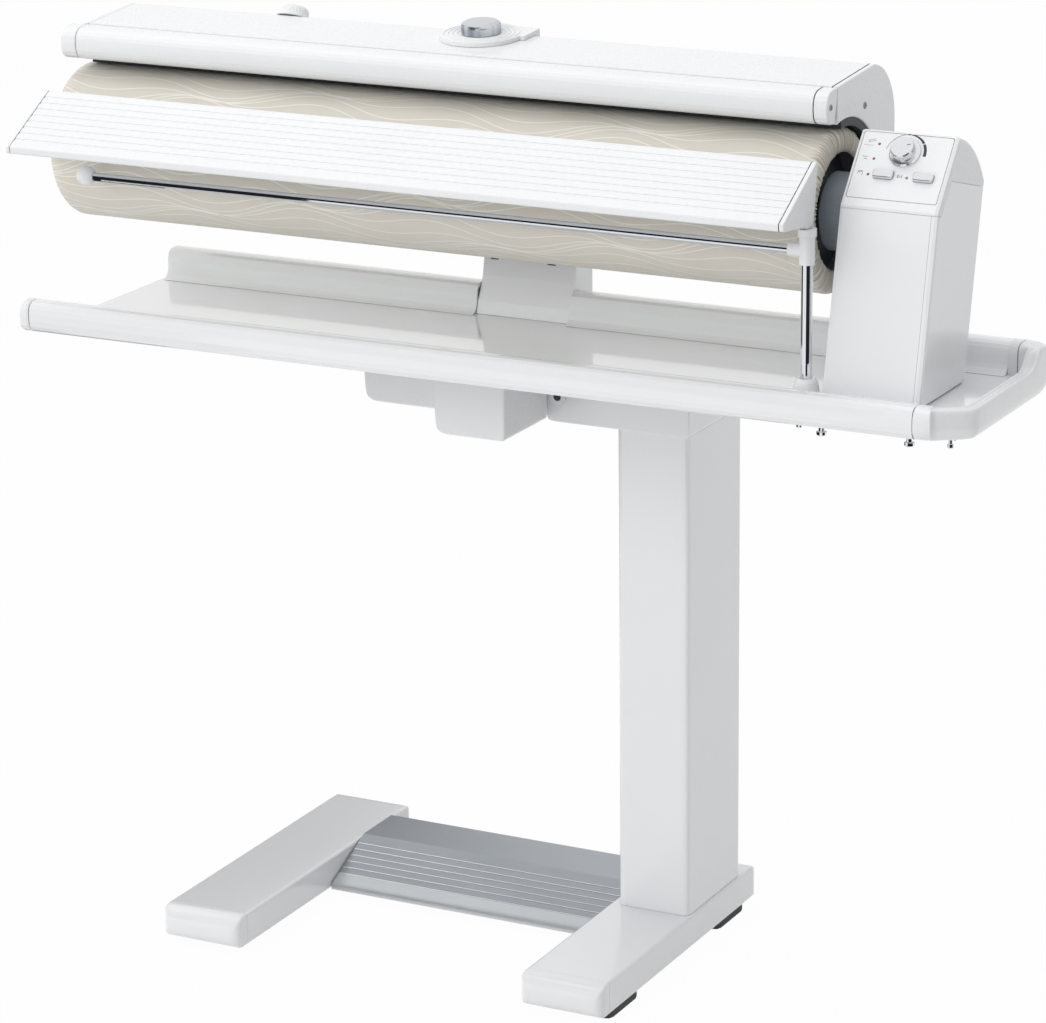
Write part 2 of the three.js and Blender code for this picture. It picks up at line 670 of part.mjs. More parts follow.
function makeHeadstock() {
  const outside = extrude(headstockSide(0), 'x', headstockLeft, headstockRight, 4, 8);
  const inside = extrude(headstockSide(wall, 7), 'x', headstockLeft + wall, headstockRight - wall, 0, 8);
  const neckHole = rod(neckRadius + seat, 'x', headstockLeft - 5, headstockLeft + 10, rollerY, rollerZ, 32);
  const whole = cut(outside, inside, neckHole);

  // the hood's lower edge: in from the front, up beside the controls, then back along the seam
  const hoodZone = (gap) => extrude(outline([
    [hoodStartY - 20, hoodStartZ + 20 * headstockLean * 0.2 + gap],
    [hoodStartY + 7, hoodStartZ - 4.5 + gap], [hoodStartY + 32, hoodStartZ + 24 + gap],
    [40, hoodStartZ - 11 + gap], [40, hoodTopZ + 20], [hoodStartY - 20, hoodTopZ + 20],
  ]), 'x', headstockLeft - 10, headstockRight + 10);
  const frontZone = (gap) => {
    const base = panelTop - 5;
    const y0 = headstockFrontY + headstockLean * (base - panelTop);
    const y1 = headstockFrontY + headstockLean * (hoodStartZ - panelTop);
    return extrude(outline([
      [y0 - 5, base], [y0 + wall + gap, base], [y1 + wall + gap, hoodStartZ + 6], [y1 - 5, hoodStartZ + 6],
    ]), 'x', headstockLeft - 1, headstockRight - 7 + gap);
  };
  const lower = cut(whole, hoodZone(0));
  piece('headstock_shell', cut(lower, frontZone(seat)), enamel);
  piece('headstock_front_panel', common(lower, frontZone(0)), enamel);

  const panelGap = 0.7;
  const panelX0 = headstockLeft + 4.5;
  const panelX1 = headstockRight - 5.5;
  const pocket = onSlope(extrude(rectangle(panelX0 - panelGap, 9 - panelGap, panelX1 + panelGap, 79 + panelGap, 2.6), 'z',
    -controlThickness - seat, 20), 0, 0);
  const knobHole = (gap) => onSlope(rod(4 + gap, 'z', -20, 10, 0, 0, 16), knobX, knobUp);
  const buttonHole = (x, gap) => onSlope(extrude(rectangle(
    -buttonLength / 2 - gap, -buttonHeight / 2 - gap, buttonLength / 2 + gap, buttonHeight / 2 + gap, 3),
  'z', -20, 10), x, buttonUp);
  const holes = [knobHole(0.5), buttonHole(buttonXs.left, seat), buttonHole(buttonXs.right, seat)];
  const upper = common(whole, hoodZone(seat));
  piece('headstock_hood', cut(upper, pocket, ...holes), whitePlastic);
  const panel = onSlope(extrude(rectangle(panelX0, 9, panelX1, 79, 2.2), 'z', -controlThickness, 0), 0, 0);
  piece('control_panel', cut(panel, ...holes), whitePlastic);

  const knob = turned([[0, -9], [4, -9], [4, seat], [15.4, seat], [15.4, 1.4], [13.8, 2.8],
    [11.7, 3.2], [11.3, 11.6], [10.3, 12.8], [0, 12.8]], 32);
  piece('temperature_knob', onSlope(knob, knobX, knobUp), silverPlastic);
  for (const [side, x] of Object.entries(buttonXs)) {
    const cap = extrude(rectangle(-buttonLength / 2, -buttonHeight / 2, buttonLength / 2, buttonHeight / 2, 2.8),
      'z', -8, 4, 1);
    piece(`${side}_button`, onSlope(cap, x, buttonUp), silverPlastic);
  }
}

// gear with straight-flanked teeth; a tooth points along the phase angle
function gearShape(teeth, phase, centreY, centreZ) {
  const pitch = 2 * Math.PI / teeth;
  const root = gearModule * (teeth - 2.5) / 2;
  const tip = gearModule * (teeth + 1.8) / 2;
  const shape = new THREE.Shape();
  for (let i = 0; i < teeth; i += 1) {
    const steps = [[root, -0.27], [tip, -0.1], [tip, 0.1], [root, 0.27]];
    for (const [radius, share] of steps) {
      const angle = phase + (i + share) * pitch;
      const y = centreY + radius * Math.cos(angle);
      const z = centreZ + radius * Math.sin(angle);
      if (i === 0 && share === -0.27) shape.moveTo(y, z);
      else shape.lineTo(y, z);
    }
  }
  shape.closePath();
  return shape;
}

function makeDrive() {
  const drive = gearShape(gearTeeth, pinionAngle, rollerY, rollerZ);
  const gearRight = gearLeft + gearWidth;
  const keyway = rod(shaftRadius + seat, 'x', gearLeft - 1, gearRight + 1, rollerY, rollerZ, 32);
  piece('drive_gear', cut(extrude(drive, 'x', gearLeft, gearRight), keyway), steel, roller);
  const halfTooth = Math.PI / pinionTeeth;
  const pinion = gearShape(pinionTeeth, pinionAngle + Math.PI + halfTooth, pinionY, pinionZ);
  const bore = rod(4 + seat, 'x', gearLeft - 2, gearRight + 2, pinionY, pinionZ, 12);
  piece('motor_pinion', cut(extrude(pinion, 'x', gearLeft - 1, gearRight + 1), bore), steel);

  const motorLeft = gearRight + 3;
  const motorX = motorLeft + 23;
  const canRadius = 22;
  const canY = headstockFrontY + headstockDepth / 2 + 4;
  const motor = join(
    rod(26, 'x', motorLeft, headstockRight - wall - 4, pinionY, pinionZ),
    rod(4, 'x', gearLeft - 2, motorLeft + 1, pinionY, pinionZ, 12),
    rod(canRadius, 'z', panelTop + seat, pinionZ, motorX, canY),
    block(motorX - canRadius, canY - 20, pinionZ - 30, motorX + canRadius, pinionY + 10, pinionZ));
  piece('gear_motor', motor, darkMetal);

  const neckLeft = rollerRight - 11;
  const neck = turnedOnRoller([
    [shaftRadius + seat, neckLeft], [neckRadius - 3, neckLeft], [neckRadius, neckLeft + 3],
    [neckRadius, headstockLeft - 6], [neckRadius + 4, headstockLeft - 4], [neckRadius + 4, headstockLeft - seat],
    [neckRadius, headstockLeft - seat], [neckRadius, gearLeft - 10], [shaftRadius + seat, gearLeft - 10],
    [shaftRadius + seat, neckLeft],
  ], 32);
  piece('roller_bearing_neck', neck, greyPlastic);
}

// ---------------------------------------------------------------- roller
function makeRoller() {
  const clothInner = rollerRadius - clothThickness;
  const feltOuter = clothInner - seat;
  const tubeOuter = feltOuter - paddingThickness;
  const tubeInner = tubeOuter - tubeWall;
  const tubeLeft = rollerLeft + 4;
  const tubeRight = rollerRight - 6;
  piece('roller_tube', turnedOnRoller([
    [tubeInner, tubeLeft], [tubeOuter - seat, tubeLeft], [tubeOuter - seat, tubeRight], [tubeInner, tubeRight],
    [tubeInner, tubeLeft],
  ], 40), aluminium, roller);
  piece('roller_padding', turnedOnRoller([
    [tubeOuter, tubeLeft], [feltOuter, tubeLeft], [feltOuter, rollerRight - 13], [tubeOuter, rollerRight - 13],
    [tubeOuter, tubeLeft],
  ], 40), felt, roller);
  const turnIn = 20;
  const clothEdge = 1.4;
  piece('roller_cloth', turnedOnRoller([
    [rollerRadius - turnIn, rollerLeft], [rollerRadius - 3.5, rollerLeft], [rollerRadius, rollerLeft + 4],
    [rollerRadius, rollerRight - 11], [rollerRadius - 2.5, rollerRight - 5], [rollerRadius - 9, rollerRight - 1],
    [rollerRadius - turnIn + 2, rollerRight], [rollerRadius - turnIn + 2, rollerRight - clothEdge],
    [rollerRadius - 9.5, rollerRight - 1 - clothEdge], [clothInner - 2.5, rollerRight - 6 - clothEdge],
    [clothInner, rollerRight - 12], [clothInner, rollerLeft + 4], [rollerRadius - 4, rollerLeft + clothEdge],
    [rollerRadius - turnIn, rollerLeft + clothEdge], [rollerRadius - turnIn, rollerLeft],
  ], 56), cloth, roller);
  const discLeft = tubeLeft + 3;
  piece('roller_end_disc', turnedOnRoller([
    [shaftRadius + seat, discLeft], [tubeInner - seat, discLeft], [tubeInner - seat, discLeft + 5],
    [shaftRadius + 9, discLeft + 5], [shaftRadius + 9, discLeft + 20], [shaftRadius + seat, discLeft + 20],
    [shaftRadius + seat, discLeft],
  ], 32), greyPlastic, roller);
  const hub = rollerRight - 25;
  piece('roller_shaft', turnedOnRoller([
    [0, discLeft - 1], [shaftRadius, discLeft - 1], [shaftRadius, hub - 20], [shaftRadius + 12, hub - 20],
    [shaftRadius + 12, hub - 6], [tubeInner - seat, hub - 6], [tubeInner - seat, hub], [shaftRadius, hub],
    [shaftRadius, gearLeft + gearWidth + 1.5], [0, gearLeft + gearWidth + 1.5],
  ], 32), darkMetal, roller);
}

// ---------------------------------------------------------------- pressing plate and cover
function makeSupport() {
  const base = panelTop + seat;
  const backY = platePivotY + 18;
  const side = outline([
    [railFrontY, base], [backY, base], [backY, platePivotZ + 16, 14], [platePivotY - 18, platePivotZ + 12, 3],
    [railFrontY + 14, platePivotZ - 17, 30], [railFrontY + 4, base + 14, 12],
  ]);
  const body = extrude(side, 'x', supportLeft, supportRight, 1, 6);
  const cheek = (supportWidth - armWidth) / 2 - 1.5;
  const pocket = block(supportLeft + cheek, platePivotY - 14.5, platePivotZ - 16,
    supportRight - cheek, backY + 20, platePivotZ + 40);
  const pin = rod(platePinRadius, 'x', supportLeft + 2, supportRight - 2, platePivotY, platePivotZ, 20);
  piece('plate_support', join(cut(body, pocket), pin), enamel);
}

function makePlate() {
  const from = THREE.MathUtils.degToRad(plateStart);
  const to = THREE.MathUtils.degToRad(plateEnd);
  const trough = new THREE.Shape();
  trough.absarc(rollerY, rollerZ, plateOuter, from, to, false);
  trough.absarc(rollerY, rollerZ, plateInner, to, from, true);
  trough.closePath();
  const shortOfCover = 1.5;
  const plateLeft = coverLeft - seat - coverEnd + shortOfCover;
  piece('heating_plate', extrude(trough, 'x', plateLeft, coverRight - shortOfCover, 0, 16), aluminium, plate);

  const armLeft = supportLeft + (supportWidth - armWidth) / 2;
  const armTop = 893;
  const side = outline([
    [platePivotY - 13, platePivotZ - 13, 12], [platePivotY + 13, platePivotZ - 13, 12],
    [platePivotY + 16, platePivotZ + 33, 20], [platePivotY + 16, armTop, 5], [platePivotY - 40, armTop],
    [platePivotY - 10, rollerZ], [platePivotY - 10, platePivotZ + 20, 20],
  ]);
  const space = rod(plateOuter + seat, 'x', armLeft - 10, armLeft + armWidth + 10, rollerY, rollerZ, 96);
  const bore = rod(platePinRadius + seat, 'x', armLeft - 5, armLeft + armWidth + 5, platePivotY, platePivotZ, 20);
  piece('plate_arm', cut(extrude(side, 'x', armLeft, armLeft + armWidth, 1, 6), space, bore), aluminium, plate);
}

// outer line of the cover (y, z), drawn in by an inset, from its front edge over to its skirt
function coverLine(shape, inset, frontBottom) {
  shape.moveTo(coverFrontY + inset, frontBottom);
  shape.lineTo(coverFrontY + inset, coverFrontZ - inset);
  shape.absarc(coverBackY, coverBackZ, coverBackRadius - inset, coverBackAngle, 0, true);
  shape.lineTo(coverBackY + coverBackRadius - inset, coverSkirtZ);
}

function makeCover() {
  const lip = coverFrontZ - coverLipDepth;
  const outer = new THREE.Shape();
  coverLine(outer, 0, lip);
  const inner = new THREE.Shape();
  coverLine(inner, coverWall, lip);
  const points = [...outer.getPoints(12), ...inner.getPoints(12).reverse()];
  const shell = new THREE.Shape(points);
  piece('top_cover', extrude(shell, 'x', coverLeft, coverRight - coverEnd - seat), whitePlastic, plate);

  const endShape = () => {
    const end = new THREE.Shape();
    const bottomRadius = plateOuter + seat;
    const meet = Math.asin((coverSkirtZ - rollerZ) / bottomRadius);
    const frontMeet = Math.acos((coverFrontY - rollerY) / bottomRadius);
    coverLine(end, 0, rollerZ + bottomRadius * Math.sin(frontMeet));
    end.absarc(rollerY, rollerZ, bottomRadius, meet, frontMeet, false);
    end.closePath();
    return end;
  };
  piece('cover_end_right', extrude(endShape(), 'x', coverRight - coverEnd, coverRight, 1.2, 8), whitePlastic, plate);
  piece('cover_end_left', extrude(endShape(), 'x', coverLeft - seat - coverEnd, coverLeft - seat, 1.2, 8),
    whitePlastic, plate);
}

const topTilt = Math.atan2(coverTopBackZ - coverFrontZ, coverTopBackY - coverFrontY);
const fillerX = 45.6;
const fillerUp = 70;              // up the cover's flat top from its front edge
const fillerRaise = 4.5;

// puts a piece made flat (x across, y towards the back, z outwards) on the cover's flat top
function onTop(geometry, x, up, out = 0) {
  return geometry.translate(x, up, out).rotateX(topTilt).translate(0, coverFrontY, coverFrontZ);
}

function makeFiller() {
  const discRadius = 42;
  const disc = rod(discRadius, 'z', -10, fillerRaise, 0, 0, 40);
  const tongue = extrude(rectangle(-28, 0, 48, 36, 3), 'z', -20, fillerRaise);
  const platform = onTop(join(disc, tongue), fillerX, fillerUp);
  const under = new THREE.Shape();
  coverLine(under, -seat, coverSkirtZ);
  under.closePath();
  const underCover = extrude(under, 'x', fillerX - 100, fillerX + 100, 0, 24);
  const trimmed = cut(platform, underCover);
  piece('filler_plate', trimmed, whitePlastic, plate);
  const cap = turned([[0, seat], [20, seat], [20, 9], [18.4, 11.6], [16, 12.4], [0, 12.8]], 40);
  piece('filler_cap', onTop(cap, fillerX, fillerUp, fillerRaise), silverPlastic, plate);

  const knobAngle = THREE.MathUtils.degToRad(66);
  const knob = turned([[0, 0.8], [22, 0.8], [22, 3], [18, 5], [16.5, 6], [16.5, 17], [13, 21.5], [7, 23.8], [0, 24.5]], 32);
  const knobX0 = -192;
  knob.rotateX(knobAngle - Math.PI / 2);
  knob.translate(knobX0, coverBackY + coverBackRadius * Math.cos(knobAngle),
    coverBackZ + coverBackRadius * Math.sin(knobAngle));
  const round = new THREE.Shape();
  coverLine(round, -seat, coverSkirtZ);
  round.closePath();
  const coverSpace = extrude(round, 'x', knobX0 - 60, knobX0 + 60, 0, 24);
  piece('release_knob', cut(knob, coverSpace), whitePlastic, plate);
}

function makeGuard() {
  const backTop = coverFrontY - 0.6;
  const section = outline([
    [guardFrontY, guardBottom, 15], [backTop - 6, guardBottom, 4], [backTop, coverFrontZ - 10, 6],
    [backTop, coverFrontZ, 4], [guardFrontY, coverFrontZ - 2, 15],
  ]);
  const barRightX = coverRight - guardCapLength;
  piece('finger_guard', extrude(section, 'x', coverLeft + seat, barRightX - seat, 0, 6), whitePlastic, plate);
  piece('guard_cap_left', extrude(section, 'x', coverLeft - 18, coverLeft, 1.2, 4), whitePlastic, plate);
  piece('guard_cap_right', extrude(section, 'x', barRightX, coverRight, 1.2, 4), whitePlastic, plate);
}

// ---------------------------------------------------------------- feed board
function boardCorners(withGrooves) {
  const frontTop = [boardFrontY + 2, boardFrontZ + boardLip + 1];
  const backTop = [boardBackY - 3, boardBackZ];
  const ribs = withGrooves ? grooved(frontTop, backTop, 8, 9.4, 8, 3, -0.6) : [];
  return [
    [boardHeelY, boardHeelZ, 2], [boardFrontY + 1, boardFrontZ, 2.5], [boardFrontY, boardFrontZ + boardLip, 2.5],
    [...frontTop, 1], ...ribs, [...backTop, 2], [boardBackY, boardBackZ - 3, 1.5],
  ];
}

function makeFeedBoard() {
  const section = outline(boardCorners(true));
  const bore = outline([
    [boardHeelY - boardWall, boardHeelZ + boardWall + 0.6], [boardFrontY + 9, boardFrontZ + 3],
    [boardFrontY + 13, boardFrontZ + 9], [boardBackY - 6, boardBackZ - 7],
  ]);
  piece('feed_board', hollow(section, bore, 'x', boardLeft + boardCap, boardRight - boardCap - seat), whitePlastic);
  const capShape = outline(boardCorners(false));
  piece('feed_board_cap_left', extrude(capShape, 'x', boardLeft, boardLeft + boardCap - seat, 1), whitePlastic);
  const capRight = extrude(capShape, 'x', boardRight - boardCap, boardRight, 1);
  const clampRadius = 9;
  const clampTop = boardHeelZ - seat;
  const clamp = rod(clampRadius, 'z', boardHeelZ - 8, clampTop, uprightX, uprightY, 20);
  const link = block(boardRight - boardCap, uprightY - 5, clampTop - 4, boardRight, uprightY + 5, boardFrontZ + 5);
  const socket = rod(uprightRadius + seat, 'z', boardHeelZ - 10, boardHeelZ, uprightX, uprightY, 20);
  piece('feed_board_cap_right', cut(join(capRight, clamp, link), socket), whitePlastic);
}

// ---------------------------------------------------------------- hanging rail
function makeRail() {
  const socketRadius = 13;
  const socketTop = 694;
  const socket = turned([
    [0, 0], [socketRadius, 0], [socketRadius, 8], [socketRadius - 2, socketTop - panelTop - 3],
    [socketRadius - 4, socketTop - panelTop], [uprightRadius + seat, socketTop - panelTop],
    [uprightRadius + seat, 4], [0, 4],
  ], 28);
  piece('upright_socket', socket.translate(uprightX, uprightY, panelTop + seat), whitePlastic);
  piece('upright_rod', rod(uprightRadius, 'z', panelTop + 5, boardHeelZ - seat, uprightX, uprightY, 20), chrome);

  const teeHalf = 13;
  const teeRadius = 7.5;
  const teeReach = 18;
  const tee = cut(
    join(rod(teeRadius, 'z', railRodZ - teeHalf, railRodZ + teeHalf, uprightX, uprightY),
      rod(6.5, 'x', uprightX - teeReach, uprightX, uprightY, railRodZ, 20)),
    rod(uprightRadius + seat, 'z', railRodZ - 20, railRodZ + 20, uprightX, uprightY, 20),
    rod(railRodRadius + seat, 'x', uprightX - teeReach - 5, uprightX - teeRadius - 1, uprightY, railRodZ, 16));
  piece('rail_tee', tee, whitePlastic);
  piece('rail_rod', rod(railRodRadius, 'x', railRodEnd, uprightX - teeRadius - 2, uprightY, railRodZ, 16), chrome);
  const ball = new THREE.SphereGeometry(railBallRadius, 20, 12);
  const ballX = railRodEnd - railBallRadius + 4;
  const bore = rod(railRodRadius + seat, 'x', railRodEnd - seat, railRodEnd + 20, uprightY, railRodZ, 16);
  piece('rail_ball', cut(ball.translate(ballX, uprightY, railRodZ), bore), whitePlastic);
}

makeFoot('left_foot', -1);
makeFoot('right_foot', 1);
makePads();
makeCrossBeam();
makePedal();
makeColumn();
makeColumnHead();
makeCarrier();
makeTray();
makeTrayEnd();
makeUnderTray();
makeHeadstockBolts();
makeHeadstock();
makeDrive();
makeRoller();
makeSupport();
makePlate();
makeCover();
makeFiller();
makeGuard();
makeFeedBoard();
makeRail();

// the finished part stands on z = 0 with its box centred on x = 0 and y = 0
const left = barLeft - seat - barCapLength;
ironer.position.set(-(left + trayRight) / 2, -(boardFrontY + footLength / 2) / 2, 0);
ironer.updateMatrixWorld(true);

export default ironer;
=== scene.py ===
# Rotary ironer on a folding stand: finishes, cloth cover, marks and small fittings.
import functools
import math
import bmesh
import bpy
from mathutils import Matrix, Vector


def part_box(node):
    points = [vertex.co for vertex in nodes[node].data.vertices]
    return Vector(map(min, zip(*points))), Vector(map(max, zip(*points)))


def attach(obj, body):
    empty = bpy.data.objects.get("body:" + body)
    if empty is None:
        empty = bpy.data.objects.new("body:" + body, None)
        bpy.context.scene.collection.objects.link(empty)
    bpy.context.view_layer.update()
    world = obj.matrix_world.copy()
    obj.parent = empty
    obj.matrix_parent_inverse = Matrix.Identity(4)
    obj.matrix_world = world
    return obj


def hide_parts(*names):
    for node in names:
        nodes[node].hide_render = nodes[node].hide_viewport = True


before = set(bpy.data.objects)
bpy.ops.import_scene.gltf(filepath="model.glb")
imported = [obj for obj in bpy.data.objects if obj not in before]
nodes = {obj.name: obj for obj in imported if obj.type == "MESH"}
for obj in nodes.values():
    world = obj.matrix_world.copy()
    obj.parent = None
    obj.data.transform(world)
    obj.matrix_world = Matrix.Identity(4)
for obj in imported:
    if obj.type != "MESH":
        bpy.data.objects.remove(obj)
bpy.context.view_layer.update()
print("frame loaded:", len(nodes), "nodes")

# drawn from the point midway between the feet, in millimetres; the finished part is centred on its box
shift = (-124.85, 17.5, 0)


def at(x, y, z):
    return Vector(((x + shift[0]) / 1000, (y + shift[1]) / 1000, (z + shift[2]) / 1000))


# camera, light and room
camera = {"azimuth": 27.2906, "elevation": 16.7233, "roll": -0.6218, "distance": 4.3873, "target": (75.05, 0, 468.08),
          "lens": 146.67, "sensor": 36, "shiftX": 0.00244, "shiftY": -0.00008, "clipEnd": 60}
room = {"floor": 0.8, "floorGlow": 0.97, "reach": 16, "drop": 0.0002,
        "level": 0.66, "fromLeft": 0.21, "fromAbove": 0.08}
lamps = {
    "keyLamp": {"place": (-1.5, -3.4, 2.6), "aim": (0, 0, 0.6), "size": 2.4, "power": 42},
    "topLamp": {"place": (-0.4, -0.2, 4.2), "aim": (0, 0, 0.6), "size": 3.0, "power": 34},
    "fillLamp": {"place": (-1.3, -3.4, 0.35), "aim": (0, 0, 0.7), "size": 1.8, "power": 11},
}
# dark boards that only polished surfaces see: place, aim, width, height, level
boards = {
    "rightBoard": ((1.286, -0.889, 0.45), (0.34, -0.15, 0.45), 2.1, 0.8, 0.02),
    "leftBoard": ((-0.86, 0.15, 0.35), (0.34, 0.15, 0.35), 2.5, 0.6, 0.02),
    "highBoard": ((-1.0, -1.8, 2.4), (-1.0, 0, 2.4), 2.6, 2.3, 0.03),
    "frontBoard": ((-0.95, -1.8, 0.77), (-0.95, 0, 0.77), 1.5, 0.78, 0.02),
}
boardTint = (0.9, 0.95, 1, 1)


def addObject(name, data):
    made = bpy.data.objects.new(name, data)
    bpy.context.scene.collection.objects.link(made)
    return made


def addMaterial(name):
    made = bpy.data.materials.new(name)
    made.use_nodes = True
    return made, made.node_tree


def makeCamera():
    a = math.radians(camera["azimuth"])
    e = math.radians(camera["elevation"])
    back = Vector((math.sin(a) * math.cos(e), -math.cos(a) * math.cos(e), math.sin(e)))
    right = Vector((math.cos(a), math.sin(a), 0))
    up = back.cross(right)
    turn = math.radians(camera["roll"])
    right, up = right * math.cos(turn) + up * math.sin(turn), up * math.cos(turn) - right * math.sin(turn)
    data = bpy.data.cameras.new("photoCamera")
    data.lens = camera["lens"]
    data.sensor_width = camera["sensor"]
    data.shift_x = camera["shiftX"]
    data.shift_y = camera["shiftY"]
    data.clip_end = camera["clipEnd"]
    eye = addObject("photoCamera", data)
    eye.matrix_world = axesMatrix(at(*camera["target"]) + back * camera["distance"], right, up, back)
    bpy.context.scene.camera = eye


def placeAimed(thing, place, aim):
    thing.location = place
    thing.rotation_euler = (Vector(aim) - Vector(place)).to_track_quat("-Z", "Y").to_euler()


def makeLamps():
    for name, lamp in lamps.items():
        data = bpy.data.lights.new(name, "AREA")
        data.shape = "DISK"
        data.size = lamp["size"]
        data.energy = lamp["power"]
        light = addObject(name, data)
        light.visible_glossy = False
        placeAimed(light, lamp["place"], lamp["aim"])


def makeBoards():
    for name, (place, aim, width, height, level) in boards.items():
        material, tree = addMaterial(name)
        glow = Wire(tree).node("ShaderNodeEmission", None, {"Color": boardTint, "Strength": level})
        tree.links.new(glow.socket, tree.nodes["Material Output"].inputs[0])
        mesh = bpy.data.meshes.new(name)
        w, h = width / 2, height / 2
        mesh.from_pydata([(-w, -h, 0), (w, -h, 0), (w, h, 0), (-w, h, 0)], [], [(0, 1, 2, 3)])
        mesh.materials.append(material)
        board = addObject(name, mesh)
        for rays in ("camera", "diffuse", "shadow", "transmission"):
            setattr(board, "visible_" + rays, False)
        placeAimed(board, place, aim)


# one wire of a shader or geometry tree, with sums written as sums
class Wire:
    def __init__(self, tree, socket=None):
        self.tree = tree
        self.socket = socket

    def node(self, kind, settings=None, sockets=None, out=0):
        made = self.tree.nodes.new(kind)
        for name, value in (settings or {}).items():
            setattr(made, name, value)
        for name, value in (sockets or {}).items():
            if isinstance(value, Wire):
                self.tree.links.new(value.socket, made.inputs[name])
            else:
                made.inputs[name].default_value = value
        return Wire(self.tree, made.outputs[out])

    def maths(self, operation, *values):
        return self.node("ShaderNodeMath", {"operation": operation}, dict(enumerate(values)))

    def __add__(self, other):
        return self.maths("ADD", self, other)

    def __radd__(self, other):
        return self.maths("ADD", other, self)

    def __sub__(self, other):
        return self.maths("SUBTRACT", self, other)

    def __rsub__(self, other):
        return self.maths("SUBTRACT", other, self)

    def __mul__(self, other):
        return self.maths("MULTIPLY", self, other)

    def __neg__(self):
        return self.maths("MULTIPLY", self, -1.0)

    def sine(self):
        return self.maths("SINE", self)

    def root(self):
        return self.maths("SQRT", self)

    def size(self):
        return self.maths("ABSOLUTE", self)

    def least(self, other):
        return self.maths("MINIMUM", self, other)

    def most(self, other):
        return self.maths("MAXIMUM", self, other)

    def below(self, edge, soft):
        return self.node("ShaderNodeMapRange", {"interpolation_type": "SMOOTHSTEP"},
                         {"Value": self, "From Min": edge - soft, "From Max": edge + soft,
                          "To Min": 1.0, "To Max": 0.0})

    def axes(self):
        split = self.tree.nodes.new("ShaderNodeSeparateXYZ")
        self.tree.links.new(self.socket, split.inputs[0])
        return [Wire(self.tree, split.outputs[i]) for i in range(3)]

    def blend(self, first, second):
        return self.node("ShaderNodeMix", {"data_type": "RGBA"}, {0: self, 6: first, 7: second}, out=2)

    def join(self, parts):
        joined = self.tree.nodes.new("GeometryNodeJoinGeometry")
        for part in parts:
            self.tree.links.new(part.socket, joined.inputs[0])
        return Wire(self.tree, joined.outputs[0])


def rgba(colour):
    return (*colour, 1.0)


def surface(name, draw, **plain):
    made, tree = addMaterial(name)
    shader = tree.nodes["Principled BSDF"]
    for socket, value in plain.items():
        shader.inputs[socket.replace("_", " ")].default_value = rgba(value) if isinstance(value, tuple) else value
    place = Wire(tree).node("ShaderNodeTexCoord", out="Object")
    for socket, value in draw(place).items():
        tree.links.new(value.socket, shader.inputs[socket])
    return made


def noise(place, scale, detail=3.0, rough=0.55, stretch=(1, 1, 1)):
    spread = place.node("ShaderNodeMapping", None, {"Vector": place, "Scale": stretch})
    return place.node("ShaderNodeTexNoise", None,
                      {"Vector": spread, "Scale": scale, "Detail": detail, "Roughness": rough})


def bump(place, height, strength, distance):
    return place.node("ShaderNodeBump", None, {"Height": height, "Strength": strength, "Distance": distance})


